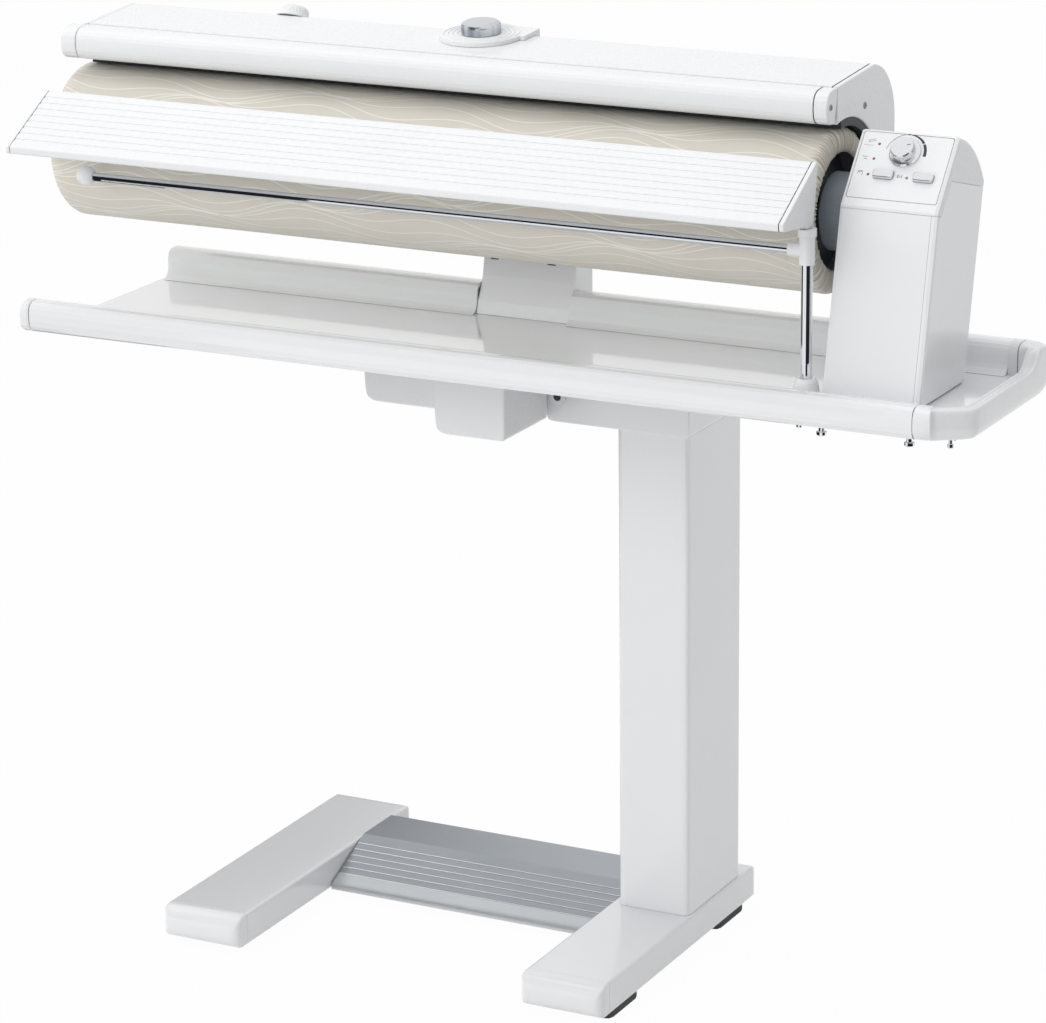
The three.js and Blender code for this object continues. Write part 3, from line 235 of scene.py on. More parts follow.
# Each finish has two colours that its cloud blends and a finer grain; where no grain is given, the cloud is the grain.
# The roughness is a base and a share of the cloud or the grain; the bump is the grain's strength and height.
white = {"cloud": (9.0,), "grain": (420.0, 2.0), "bump": (0.02, 0.0003)}
brushed = {"cloud": (8.0,), "grain": (700.0, 4.0, 0.65, (0.02, 1, 1)), "rough": (0.32, 0.2, "grain"),
           "bump": (0.1, 0.0003)}
lens = {"cloud": (900.0,), "rough": (0.12, 0.1, "cloud")}
finishes = {
    "enamel": {**white, "colours": ((0.83, 0.845, 0.855), (0.80, 0.815, 0.83)), "rough": (0.14, 0.12, "cloud")},
    # the tray's enamel is the same white coloured lighter, painted light against the shade under the roller
    "trayEnamelPaintedLight": {**white, "colours": ((0.915, 0.93, 0.945), (0.895, 0.912, 0.93)), "rough": (0.10, 0.12, "cloud")},
    "moulded": {"colours": ((0.83, 0.84, 0.85), (0.80, 0.81, 0.82)), "cloud": (12.0,), "grain": (900.0,),
                "rough": (0.25, 0.06, "grain"), "bump": (0.006, 0.0002)},
    "steel": {"colours": ((0.50, 0.52, 0.54), (0.62, 0.64, 0.66)), "cloud": (60.0, 4.0),
              "grain": (300.0, 3.0, 0.6, (0.04, 1, 1)), "rough": (0.32, 0.2, "grain"), "bump": (0.1, 0.0003)},
    "chrome": {"colours": ((0.70, 0.72, 0.76), (0.80, 0.82, 0.85)), "cloud": (30.0,),
               "grain": (900.0, 2.0, 0.5, (0.05, 1, 1)), "rough": (0.02, 0.03, "grain"), "bump": (0.006, 0.0002)},
    "aluminium": {**brushed, "colours": ((0.36, 0.385, 0.415), (0.43, 0.455, 0.485))},
    # the trim is a lighter aluminium: a painted highlight on the pedal's nose roll, and the satin top of the filler cap
    "trim": {**brushed, "colours": ((0.58, 0.60, 0.625), (0.64, 0.66, 0.685))},
    # the dark coat is the real colour of motor, switch and shaft, and painted shade on the heating plate, screw
    # recesses, slots and pivot socket
    "darkAndShade": {"colours": ((0.018, 0.022, 0.03), (0.035, 0.04, 0.052)), "cloud": (500.0,),
             "rough": (0.42, 0.2, "cloud"), "bump": (0.15, 0.0004)},
    "rubber": {"colours": ((0.05, 0.053, 0.058), (0.085, 0.088, 0.092)), "cloud": (14.0,), "grain": (260.0, 5.0),
               "rough": (0.75, 0.2, "grain"), "bump": (0.3, 0.0005)},
    "greyBlue": {"colours": ((0.27, 0.31, 0.36), (0.33, 0.37, 0.42)), "cloud": (18.0,), "grain": (700.0,),
                 "rough": (0.35, 0.15, "grain"), "bump": (0.1, 0.0003)},
    "silver": {"colours": ((0.74, 0.755, 0.775), (0.81, 0.825, 0.84)), "cloud": (25.0,), "grain": (1400.0, 2.0),
               "rough": (0.14, 0.1, "grain"), "bump": (0.06, 0.0002)},
    # the turned finish's dark and light bands up the cap's side are painted reflections
    "turned": {"colours": ((0.62, 0.65, 0.69), (0.30, 0.33, 0.38)), "cloud": (110.0, 2.0, 0.5, (1.0, 1.0, 0.03)),
               "reflectionBands": (0.5, 0.12), "rough": (0.14, 0.1, "cloud"), "bump": (0.06, 0.0002)},
    "red": {**lens, "colours": ((0.34, 0.055, 0.02), (0.272, 0.044, 0.016))},
    "lime": {**lens, "colours": ((0.30, 0.24, 0.04), (0.24, 0.192, 0.032))},
    "ink": {"colours": ((0.03, 0.032, 0.04), (0.055, 0.06, 0.07)), "cloud": (1500.0,), "rough": (0.5, 0.1, "cloud")},
}
# painted shade: colour and width of the dark lines that stand in for the shade inside the hairline gaps
seamShade = {"colour": (0.16, 0.17, 0.19), "half": 0.5, "soft": 0.25}


# 1 on painted shade lines at the hairline gaps between mouldings, at these distances along the roller, 0 elsewhere and
# in front of a depth
def seamShadeLines(place, spots, behind):
    x, y, z = place.axes()
    away = [(x * 1000.0 - (spot + shift[0])).size() for spot in spots]
    gap = functools.reduce(Wire.least, away).below(seamShade["half"], seamShade["soft"])
    if behind is None:
        return gap
    return gap * (1 - y.below((behind + shift[1]) / 1000, 0.001))


def finish(kind, spots=(), behind=None):
    def draw(place):
        f = finishes[kind]
        noises = {"cloud": noise(place, *f["cloud"])}
        noises["grain"] = noise(place, *f["grain"]) if "grain" in f else noises["cloud"]
        # banded finishes get painted reflection stripes from their cloud
        shade = noises["cloud"].below(*f["reflectionBands"]) if "reflectionBands" in f else noises["cloud"]
        light, dull = f["colours"]
        colour = shade.blend(rgba(light), rgba(dull))
        if spots:
            # painted shade darkens the colour along the gaps between mouldings
            colour = seamShadeLines(place, spots, behind).blend(colour, rgba(seamShade["colour"]))
        base, share, source = f["rough"]
        sockets = {"Base Color": colour, "Roughness": base + noises[source] * share}
        if "bump" in f:
            sockets["Normal"] = bump(place, noises["grain"], *f["bump"])
        return sockets
    return draw


roller = {"y": -65, "z": 833, "radius": 80.3, "left": -390, "right": 457}
# the valley colour is painted shade, which the cloth darkens to in the pleat valleys of its gathered ends
cloth = {"ground": (0.75, 0.715, 0.64), "shade": (0.69, 0.65, 0.575), "line": (0.90, 0.885, 0.83),
         "valleyShade": (0.30, 0.25, 0.18), "thread": 0.9, "cloud": (16.0, 4.0), "slub": (240.0, 3.0, 0.6, (0.25, 1, 1)),
         "rough": (0.86, 0.06), "bump": (0.22, 0.0006), "pleatShadeShare": 0.9}
# cream lines round the roller: how many before they repeat, and their two waves along it (rate, sway, turns)
printed = {"lines": 15, "repeat": 126.0, "long": (0.0152, 8.5, -2), "short": (0.0385, 7.5, 1), "half": 0.55,
           "soft": 0.3, "share": 0.85, "drift": (4.0, 1.0), "driftSize": 9.0}


# thin cream lines run along the roller in slow waves that close up, cross and fan out again
def printedCloth(place):
    axis = at(0, roller["y"], roller["z"])
    x, y, z = place.axes()
    along = x * 1000.0
    angle = place.maths("ARCTAN2", z - axis.z, axis.y - y)
    around = angle * roller["radius"] + (noise(place, *printed["drift"]) - 0.5) * printed["driftSize"]
    swings = [(along * rate, size, turns) for rate, size, turns in (printed["long"], printed["short"])]
    distances = []
    for i in range(printed["lines"]):
        share = i / printed["lines"]
        away = around - printed["repeat"] * share
        for wave, size, turns in swings:
            away = away - (wave + 2 * math.pi * turns * share).sine() * size
        distances.append(around.maths("PINGPONG", away, printed["repeat"] / 2))
    lines = functools.reduce(Wire.least, distances).below(printed["half"], printed["soft"])
    threads = 2 * math.pi / cloth["thread"]
    weave = (along * threads).sine() * (around * threads).sine()
    slub = noise(place, *cloth["slub"])
    ground = (noise(place, *cloth["cloud"]) * 0.6 + slub * 0.4).blend(rgba(cloth["ground"]), rgba(cloth["shade"]))
    ground = (lines * printed["share"]).blend(ground, rgba(cloth["line"]))
    # the pleat attribute gives painted shade in the pleat valleys
    pleat = place.node("ShaderNodeAttribute", {"attribute_name": "pleat"}, out="Fac")
    base, share = cloth["rough"]
    return {"Base Color": (pleat * cloth["pleatShadeShare"]).blend(ground, rgba(cloth["valleyShade"])),
            "Roughness": base + weave * share,
            "Normal": bump(place, weave * 0.4 + slub * 0.6 + lines * 0.3, *cloth["bump"])}


# white cap of the folding pivot, with a dark disc painted in its middle as the shade of its socket
pivot = {"place": (110, 0, 590), "socket": 0.0042, "soft": 0.0003, "white": (0.80, 0.81, 0.82),
         "darkAndShade": (0.03, 0.033, 0.04), "grain": 400.0, "rough": (0.25, 0.1)}


def pivotCap(place):
    x, y, z = place.axes()
    middle = at(*pivot["place"])
    offX, offZ = x - middle.x, z - middle.z
    socket = (offX * offX + offZ * offZ).root().below(pivot["socket"], pivot["soft"])
    base, share = pivot["rough"]
    return {"Base Color": socket.blend(rgba(pivot["white"]), rgba(pivot["darkAndShade"])),
            "Roughness": base + noise(place, pivot["grain"]) * share}


lensGlow = 0.4
surfaces = {
    "enamel": surface("whiteEnamel", finish("enamel"), Coat_Weight=0.6, Coat_Roughness=0.06),
    "trayEnamelPaintedLight": surface("whiteEnamelTrayPaintedLight", finish("trayEnamelPaintedLight"), Coat_Weight=1.0, Coat_Roughness=0.04),
    # the finishes given places along the roller carry painted shade lines at the gaps between mouldings
    "barEnamel": surface("whiteEnamelBar", finish("enamel", (-380.15, 589.15)), Coat_Weight=0.6, Coat_Roughness=0.06),
    "moulded": surface("whiteMoulded", finish("moulded")),
    "trayMoulded": surface("whiteMouldedTray", finish("moulded", (616.5,), -30), Coat_Weight=0.5, Coat_Roughness=0.06),
    "guardMoulded": surface("whiteMouldedGuard", finish("moulded", (-372.85, 445.85))),
    "coverMoulded": surface("whiteMouldedCover", finish("moulded", (-373.15, 454.15)),
                            Coat_Weight=0.3, Coat_Roughness=0.1),
    "boardMoulded": surface("whiteMouldedBoard", finish("moulded", (-383.15, 460.85))),
    "steel": surface("platedSteel", finish("steel"), Metallic=1.0),
    "chrome": surface("polishedChrome", finish("chrome"), Metallic=1.0),
    "aluminium": surface("brushedAluminium", finish("aluminium"), Metallic=0.8),
    "trim": surface("satinTrimAndPaintedHighlight", finish("trim"), Metallic=0.6),
    "darkAndShade": surface("darkCoatAndShade", finish("darkAndShade"), Metallic=0.3),
    "rubber": surface("blackRubber", finish("rubber")),
    "greyBlue": surface("greyBlueMoulded", finish("greyBlue")),
    "silver": surface("silverPaintAndPaintedHighlight", finish("silver"), Metallic=0.9),
    "turned": surface("turnedMetalPaintedReflections", finish("turned"), Metallic=0.9),
    "cloth": surface("printedCloth", printedCloth, Sheen_Weight=0.2, Sheen_Roughness=0.5),
    "red": surface("redLens", finish("red"), Emission_Color=finishes["red"]["colours"][0], Emission_Strength=lensGlow),
    "lime": surface("limeLens", finish("lime"), Emission_Color=finishes["lime"]["colours"][0],
                    Emission_Strength=lensGlow),
    "ink": surface("printedInk", finish("ink")),
    "pivot": surface("pivotCap", pivotCap),
}
finishOfNode = {
    "enamel": "left_foot right_foot column column_head headstock_shell headstock_front_panel",
    # tray panel, back rails and plate support take the lighter enamel as painted light
    "trayEnamelPaintedLight": "tray_panel back_rail_left back_rail_right plate_support",
    "barEnamel": "front_bar",
    "moulded": "front_bar_cap tray_end_piece under_tray_housing headstock_hood control_panel "
               "feed_board_cap_right upright_socket rail_tee rail_ball filler_plate release_knob",
    "guardMoulded": "finger_guard guard_cap_left guard_cap_right",
    "coverMoulded": "top_cover cover_end_right cover_end_left",
    "boardMoulded": "feed_board feed_board_cap_left",
    "steel": "cross_beam carrier chassis_beam drive_gear motor_pinion",
    "chrome": "upright_rod rail_rod headstock_bolts",
    "aluminium": "foot_pedal roller_tube plate_arm",
    "pivot": "fold_pivot_pin",
    # the heating plate takes the dark coat as painted shade on its ends under the cover
    "darkAndShade": "pedal_switch gear_motor roller_shaft heating_plate",
    "rubber": "left_front_pad left_rear_pad right_front_pad right_rear_pad rest_buffer",
    "greyBlue": "roller_bearing_neck roller_end_disc",
    "silver": "temperature_knob left_button right_button",
    "turned": "filler_cap",
}
for kind, names in finishOfNode.items():
    for name in names.split():
        mesh = nodes[name].data
        mesh.materials.clear()
        mesh.materials.append(surfaces[kind])
print("finishes made:", len(surfaces))


# matrix of a place and its own three directions
def axesMatrix(place, across, rise, outwards):
    rows = [(across[i], rise[i], outwards[i], place[i]) for i in range(3)]
    return Matrix((*rows, (0, 0, 0, 1)))


def facingMatrix(place, outwards, rise):
    return axesMatrix(place, rise.cross(outwards), rise, outwards)


# a place on a sloping face that starts at y and z: across it, up it and out of it, in millimetres
def faceMatrix(face, x=0, up=0, out=0.0):
    tilt = face["tilt"]
    rise, outwards = Vector((0, math.cos(tilt), math.sin(tilt))), Vector((0, -math.sin(tilt), math.cos(tilt)))
    place = at(x, face["y"], face["z"]) + (rise * up + outwards * out) / 1000
    return facingMatrix(place, outwards, rise)


fineMerge = 0.0000001


def addPiece(name, vertices, faces, kind, smooth=True):
    mesh = bpy.data.meshes.new(name)
    mesh.from_pydata([tuple(v) for v in vertices], [], faces)
    mesh.validate()
    mesh.materials.append(surfaces[kind])
    if smooth:
        mesh.shade_smooth()
    return addObject(name, mesh)


def recalcNormals(piece, merge=0.00001):
    work = bmesh.new()
    work.from_mesh(piece.data)
    bmesh.ops.remove_doubles(work, verts=work.verts, dist=merge)
    bmesh.ops.recalc_face_normals(work, faces=work.faces)
    work.to_mesh(piece.data)
    work.free()


def sharpen(piece, degrees):
    work = bmesh.new()
    work.from_mesh(piece.data)
    for edge in work.edges:
        edge.smooth = edge.calc_face_angle(0) < math.radians(degrees)
    work.to_mesh(piece.data)
    work.free()


# turns a piece and its modifiers into a plain mesh, and places it
def settle(piece, matrix=None):
    bpy.context.view_layer.update()
    shape = piece.evaluated_get(bpy.context.evaluated_depsgraph_get())
    plain = bpy.data.meshes.new_from_object(shape)
    piece.modifiers.clear()
    piece.data = plain
    if matrix:
        plain.transform(matrix)


# a grid of rows, each closed round on itself
def gridFaces(rows, columns):
    faces = []
    for i in range(rows - 1):
        for j in range(columns):
            a, b = i * columns + j, i * columns + (j + 1) % columns
            faces.append((a, b, b + columns, a + columns))
    return faces


# the same with its two ends closed, numbered from a first point
def loftFaces(rows, columns, first=0):
    faces = gridFaces(rows, columns)
    faces += [tuple(range(columns)), tuple(range(columns * rows - 1, columns * (rows - 1) - 1, -1))]
    return [tuple(first + i for i in face) for face in faces]


# solid through a row of rings, with sharp edges where its faces meet at more than this angle
def addLoft(name, rings, kind, degrees):
    vertices = [v for ring in rings for v in ring]
    piece = addPiece(name, vertices, loftFaces(len(rings), len(rings[0])), kind)
    recalcNormals(piece)
    sharpen(piece, degrees)
    return piece


# roller cover: a thin cotton sleeve, gathered at each end
cover = {
    "columns": 720, "steps": 14, "thickness": 0.7, "under": 0.5, "flat": (0.5045, 0.905),
    # in from the end, down from the face, how gathered
    "leftEnd": [(1.0, 23, 1.0), (0.4, 17, 1.0), (0.2, 11, 0.9), (0.2, 7, 0.8), (0.8, 4, 0.6), (2.2, 1.8, 0.35),
                (5, 0.4, 0.15), (12, 0, 0.05)],
    "rightEnd": [(16, 0, 0), (12.5, -0.1, 0.12), (9.5, 0, 0.4), (7, 0.6, 0.7), (4.8, 2.1, 0.95), (2.9, 5, 1.1),
                 (1.6, 9, 1.15), (1.1, 14, 1.15), (1.6, 19, 1.05), (3.2, 23, 1.0)],
    # waves round the sleeve: size, rate, start
    "pleats": 108, "pleatDepth": 2.6, "wander": ((2.6, 9, 0), (1.7, 23, 1)), "rightStart": 1.3,
    "fold": 0.62, "foldWaves": ((0.28, 31, 0.5), (0.22, 17, 2)), "crease": 0.25, "flatDepth": 12,
}


def waves(turn, parts):
    return sum(size * math.sin(rate * turn + start) for size, rate, start in parts)


def makeRollerCover():
    left, right, radius = roller["left"], roller["right"], roller["radius"] - cover["under"]
    line = [(left + along, radius - down, gather) for along, down, gather in cover["leftEnd"]]
    start, end = left + cover["leftEnd"][-1][0], right - cover["rightEnd"][0][0]
    line += [(start + (end - start) * i / cover["steps"], radius, 0.0) for i in range(1, cover["steps"] + 1)]
    line += [(right - along, radius - down, gather) for along, down, gather in cover["rightEnd"][1:]]
    rows, pleatShadeDepths = [], []
    for x, r, gather in line:
        ring = []
        side = -1 if x < 0 else 1
        flatness = min(1.0, max(0.0, (radius - r) / cover["flatDepth"]))
        for j in range(cover["columns"]):
            turn = 2 * math.pi * j / cover["columns"]
            lead = cover["pleats"] * turn + waves(turn, cover["wander"]) + (0 if x < 0 else cover["rightStart"])
            fold = cover["fold"] + waves(turn, cover["foldWaves"])
            pleat = fold * (math.sin(lead) + 0.45 * math.sin(0.5 * lead + 2.1 * math.sin(3 * turn)))
            soft = cover["crease"] * (math.sin(3 * turn + x * 0.013) + 0.7 * math.sin(7 * turn - x * 0.021 + 1.1)) / 2
            across = gather * cover["pleatDepth"] * pleat / 2
            out = r + across * (1 - 0.6 * flatness) + (1 - gather) * soft * 0.6
            ring.append(at(x + side * across * 0.9 * flatness,
                           roller["y"] + out * math.cos(turn), roller["z"] + out * math.sin(turn)))
            # how deep each point lies in a pleat valley, kept for the cloth's painted shade
            pleatShadeDepths.append(gather * max(0.0, -pleat) / 1.4)
        rows.append(ring)
    piece = addPiece("rollerCover", [v for ring in rows for v in ring], gridFaces(len(rows), cover["columns"]), "cloth")
    shade = piece.data.attributes.new("pleat", "FLOAT", "POINT")
    shade.data.foreach_set("value", pleatShadeDepths)
    recalcNormals(piece)
    axis = at(0, roller["y"], roller["z"])
    middle = piece.data.polygons[len(piece.data.polygons) // 2]
    if middle.normal.dot(middle.center - Vector((middle.center.x, axis.y, axis.z))) < 0:
        piece.data.flip_normals()
    wall = piece.modifiers.new("wall", "SOLIDIFY")
    wall.thickness = cover["thickness"] / 1000
    wall.offset = -1
    settle(piece)
    piece.data.shade_smooth()
    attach(piece, "roller")
    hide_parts("roller_cloth", "roller_padding")


# moulded tray end: the bar's round section turns the corner and climbs to the back rail
trayEnd = {
    "bottom": 657, "side": 642, "inside": 627, "railFront": -8, "railBack": 24, "corner": 26, "turns": 8, "dip": 15,
    "railEnd": 606.3, "railTop": 706, "barRadius": 12, "barWidth": 24.5, "footRadius": 3,
    # outer x, y, inner x, y, top, share of the bar's section
    "front": [
        (589.3, -208, 589.3, -180, 689, 1.0), (600, -208, 600, -180, 689, 1.0), (603.4, -207, 601.5, -182, 689, 0.75),
        (605.6, -204.6, 602.5, -187, 688.8, 0.3), (607.0, -203, 603, -188.6, 688.6, 0.0),
        (611, -200.3, 604.5, -187, 688.4, 0.0), (620, -194.5, 611, -182.2, 688, 0.0),
        (634, -185.2, 622, -175, 688, 0.0), (638.8, -181.4, 625, -172, 688, 0.0),
        (641.2, -178.0, 626.6, -169.8, 688, 0.0), (642, -172.5, 627, -167, 688, 0.0)],
    # y and top along the side
    "climb": [(-150, 688), (-100, 688), (-50, 688), (-38, 688.1), (-33, 688.6), (-29, 690), (-25.5, 692.6),
              (-22.5, 696), (-19.5, 699.8), (-16.5, 702.8), (-13, 705), (-9.5, 706)],
}


# outer wall, top edge and inner wall of the rim in its own plane, from the inner foot round to the inner foot
def rimSection(width, top, bottom):
    points = []
    for degrees in range(0, 91, 11):
        turn = math.radians(degrees)
        points.append((7 + (width - 7) * math.sin(turn), bottom + 15 - 15 * math.cos(turn)))
    points += [(width, top - 6), (width - 0.2, top - 2.2), (width - 1.0, top - 0.7), (width - 2.4, top),
               (width - 3.4, top - 0.3), (width - 4.4, top - 1.3)]
    points += [(4.2, top - 3.0), (3.6, top - 2.9), (3.0, top - 1.7), (2.2, top - 1.3), (0.9, top - 1.5)]
    return points + [(0.2, top - 2.4), (0, top - 4), (0, bottom + 3), (0.6, bottom + 0.8), (2, bottom)]


def barSection(width, top, bottom, count):
    radius, foot = trayEnd["barRadius"], trayEnd["footRadius"]
    corners = [(width - radius, bottom + radius, radius, -90, 9), (width - radius, top - radius, radius, 0, 7),
               (radius, top - radius, radius, 90, count - 19), (foot, bottom + foot, foot, 180, 3)]
    ring = []
    for u, w, r, start, steps in corners:
        for i in range(steps):
            turn = math.radians(start + 90 * i / (steps - 1))
            ring.append((u + r * math.cos(turn), w + r * math.sin(turn)))
    return ring


def roundedSection(outX, outY, inX, inY, top, bar):
    width = math.hypot(outX - inX, outY - inY)
    rim = rimSection(width, top, trayEnd["bottom"])
    full = barSection(max(width, trayEnd["barWidth"]), top, trayEnd["bottom"], len(rim)) if bar else rim
    ring = [(u + (fullU - u) * bar, w + (fullW - w) * bar) for (u, w), (fullU, fullW) in zip(rim, full)]
    acrossX, acrossY = (outX - inX) / width, (outY - inY) / width
    return [at(inX + acrossX * u, inY + acrossY * u, w) for u, w in ring]


def makeTrayEnd():
    side, inside, radius = trayEnd["side"], trayEnd["inside"], trayEnd["corner"]
    front, back, end, top = trayEnd["railFront"], trayEnd["railBack"], trayEnd["railEnd"], trayEnd["railTop"]
    stations = trayEnd["front"] + [(side, y, inside, y, height, 0.0) for y, height in trayEnd["climb"]]
    for i in range(trayEnd["turns"] + 1):
        share = i / trayEnd["turns"]
        turn = math.radians(90 * share)
        stations.append((side - radius + radius * math.cos(turn), back - radius + radius * math.sin(turn),
                         inside - trayEnd["dip"] * share, front, top, share))
    stations.append((end, back, end, front, top, 1.0))
    piece = addLoft("trayEndMoulding", [roundedSection(*station) for station in stations], "trayMoulded", 55)
    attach(piece, "unit")
    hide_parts("tray_end_piece")


# feet with rounded front caps: radius of each round at the front and at the back (top, bottom, side),
# the hairline behind the cap (where, how deep), and where the rings stand
footEnds = {"front": (15, 11, 10), "back": (8, 5, 7), "corner": 3.2, "cornerShare": 0.12, "capLine": (19.2, 0.35),
            "fromFront": (0, 0.4, 1.2, 2.6, 4.6, 7.2, 10.4, 15, 19), "fromBack": (12, 8, 5, 2.8, 1.2, 0.4, 0),
            "cornerSteps": 6}


def inset(radius, distance):
    gone = max(0.0, radius - distance)
    return radius - math.sqrt(radius * radius - gone * gone)


def makeFoot(node, name):
    low, high = [Vector(corner) * 1000 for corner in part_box(node)]
    line, deep = footEnds["capLine"]
    stations = [(low.y + d, [inset(r, d) for r in footEnds["front"]]) for d in footEnds["fromFront"]]
    stations += [(low.y + line + d, [deep * share] * 3) for d, share in ((0, 0), (0.1, 1), (0.6, 1), (0.7, 0))]
    stations += [(high.y - d, [inset(r, d) for r in footEnds["back"]]) for d in footEnds["fromBack"]]
    steps = footEnds["cornerSteps"]
    rings = []
    for y, (top, bottom, side) in stations:
        radius = footEnds["corner"] + footEnds["cornerShare"] * side
        left, right = low.x + side + radius, high.x - side - radius
        under, over = low.z + bottom + radius, high.z - top - radius
        ring = []
        for i, (x, z) in enumerate(((right, under), (right, over), (left, over), (left, under))):
            for step in range(steps + 1):
                turn = math.radians(-90 + 90 * (i + step / steps))
                ring.append(Vector((x + radius * math.cos(turn), y, z + radius * math.sin(turn))) / 1000)
        rings.append(ring)
    piece = addLoft(name, rings, "enamel", 40)
    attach(piece, "stand")
    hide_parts(node)


# bright strips in the pedal's grooves, coloured light as painted highlights, along its slope from the crease to the
# nose, and a rolled trim round its nose, coloured lighter than the pedal as a painted highlight
pedal = {
    "crease": (79, 46.8), "nose": (10, 15.5), "first": 14.1, "pitch": 9.5, "count": 6, "half": 163.3,
    # along the slope and down into it, from the strip's start
    "strip": ((0, 0.6), (1.2, 0.6), (1.2, -0.1), (0.95, -0.35), (0.25, -0.35), (0, -0.1)),
    # y, z and radius of the roll, and the outline before and after it
    "roll": (12.6, 8.8, 8.0), "rollTurns": range(114, 181, 11),
    "outer": [(22, 21.0), (16, 18.6), (12.5, 17.35)],
    "inner": [(5.0, 8.1), (6.4, 8.7), (6.8, 10.6), (8.6, 13.4), (11, 15.1), (16, 17.5), (21.6, 20.1)],
}


# closed bar across the pedal, with this outline in y and z
def addPedalBar(name, outline, kind):
    rings = [[at(x, y, z) for y, z in outline] for x in (-pedal["half"], pedal["half"])]
    piece = addLoft(name, rings, kind, 35)
    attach(piece, "pedal")


def makePedalTrim():
    (startY, startZ), (noseY, noseZ) = pedal["crease"], pedal["nose"]
    length = math.hypot(noseY - startY, noseZ - startZ)
    alongY, alongZ = (noseY - startY) / length, (noseZ - startZ) / length
    for i in range(pedal["count"]):
        outline = []
        for along, down in pedal["strip"]:
            s = pedal["first"] + i * pedal["pitch"] + along
            outline.append((startY + alongY * s + alongZ * down, startZ + alongZ * s + alongY * down))
        # each strip is silver, a painted highlight in its groove
        addPedalBar(f"pedalHighlightStrip{i + 1}", outline, "silver")
    rollY, rollZ, radius = pedal["roll"]
    turns = [math.radians(degrees) for degrees in pedal["rollTurns"]]
    roll = [(rollY + radius * math.cos(turn), rollZ + radius * math.sin(turn)) for turn in turns]
    # the nose roll takes the lighter trim, a painted highlight
    addPedalBar("pedalNose", pedal["outer"] + roll + pedal["inner"], "trim")


makeCamera()
makeLamps()
makeBoards()
makeTrayEnd()
makeFoot("left_foot", "leftFootShell")
makeFoot("right_foot", "rightFootShell")
makePedalTrim()
print("tray end, feet and pedal trim made")
makeRollerCover()
print("roller cover made")


# small repeated fittings, grown by Geometry Nodes: a tree with named sizes, and the points that it starts from
def growTree(name, sizes):
    tree = bpy.data.node_groups.new(name, "GeometryNodeTree")
    face = tree.interface
    face.new_socket("Geometry", in_out="INPUT", socket_type="NodeSocketGeometry")
    for label, value in sizes.items():
        kind = "NodeSocketInt" if isinstance(value, int) else "NodeSocketFloat"
        face.new_socket(label, in_out="INPUT", socket_type=kind).default_value = value
    face.new_socket("Geometry", in_out="OUTPUT", socket_type="NodeSocketGeometry")
    entry = tree.nodes.new("NodeGroupInput")
    return Wire(tree), {label: Wire(tree, entry.outputs[label]) for label in ["Geometry", *sizes]}


# ends the tree in real geometry, with a finish for each part
def endTree(wire, parts):
    done = []
    for part, kind in parts:
        solid = wire.node("GeometryNodeRealizeInstances", None, {"Geometry": part})
        done.append(wire.node("GeometryNodeSetMaterial", None, {"Geometry": solid, "Material": surfaces[kind]}))
    leave = wire.tree.nodes.new("NodeGroupOutput")
    wire.tree.links.new(wire.join(done).socket, leave.inputs[0])


def growPiece(name, wire, body, matrix=None, points=(((0, 0, 0), (0, 0, 1)),)):
    mesh = bpy.data.meshes.new(name)
    mesh.from_pydata([tuple(spot) for spot, way in points], [], [])
    facing = mesh.attributes.new("facing", "FLOAT_VECTOR", "POINT")
    facing.data.foreach_set("vector", [part for spot, way in points for part in way])
    piece = addObject(name, mesh)
    grow = piece.modifiers.new(wire.tree.name, "NODES")
    grow.node_group = wire.tree
    settle(piece, matrix)
    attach(piece, body)
    print(name, "faces", len(piece.data.polygons))


def xyz(wire, x=0.0, y=0.0, z=0.0):
    return wire.node("ShaderNodeCombineXYZ", None, {"X": x, "Y": y, "Z": z})


def moved(wire, shape, offset=(0, 0, 0), scale=(1, 1, 1)):
    return wire.node("GeometryNodeTransform", None, {"Geometry": shape, "Translation": offset, "Scale": scale})


def smoothed(wire, shape):
    return wire.node("GeometryNodeSetShadeSmooth", None, {"Geometry": shape})


def onPoints(wire, points, shape, **how):
    return wire.node("GeometryNodeInstanceOnPoints", None, {"Points": points, "Instance": shape, **how})


def pointRing(wire, size):
    return wire.node("GeometryNodeMeshCircle", {"fill_type": "NONE"}, {
        "Vertices": size["Count"], "Radius": size["Radius"]})


def onFacing(wire, points, shape):
    way = wire.node("GeometryNodeInputNamedAttribute", {"data_type": "FLOAT_VECTOR"}, {"Name": "facing"})
    turn = wire.node("FunctionNodeAlignRotationToVector", {"axis": "Z"}, {"Vector": way})
    return onPoints(wire, points, shape, Rotation=turn)


def circle(wire, steps, radius):
    return wire.node("GeometryNodeCurvePrimitiveCircle", {"mode": "RADIUS"}, {"Resolution": steps, "Radius": radius})


def tube(wire, curve, profile):
    return wire.node("GeometryNodeCurveToMesh", None, {"Curve": curve, "Profile Curve": profile})


# the headstock's leaning back, and the screws with their places and the way they face
headstock = {"lean": 0.2255, "backY": -51.5, "footZ": 675.3}
leanTurn = math.atan(headstock["lean"])
backWay = (0, math.cos(leanTurn), -math.sin(leanTurn))
backRise = (0, math.sin(leanTurn), math.cos(leanTurn))


def onBack(x, z):
    return (x, headstock["backY"] + headstock["lean"] * (z - headstock["footZ"]), z)


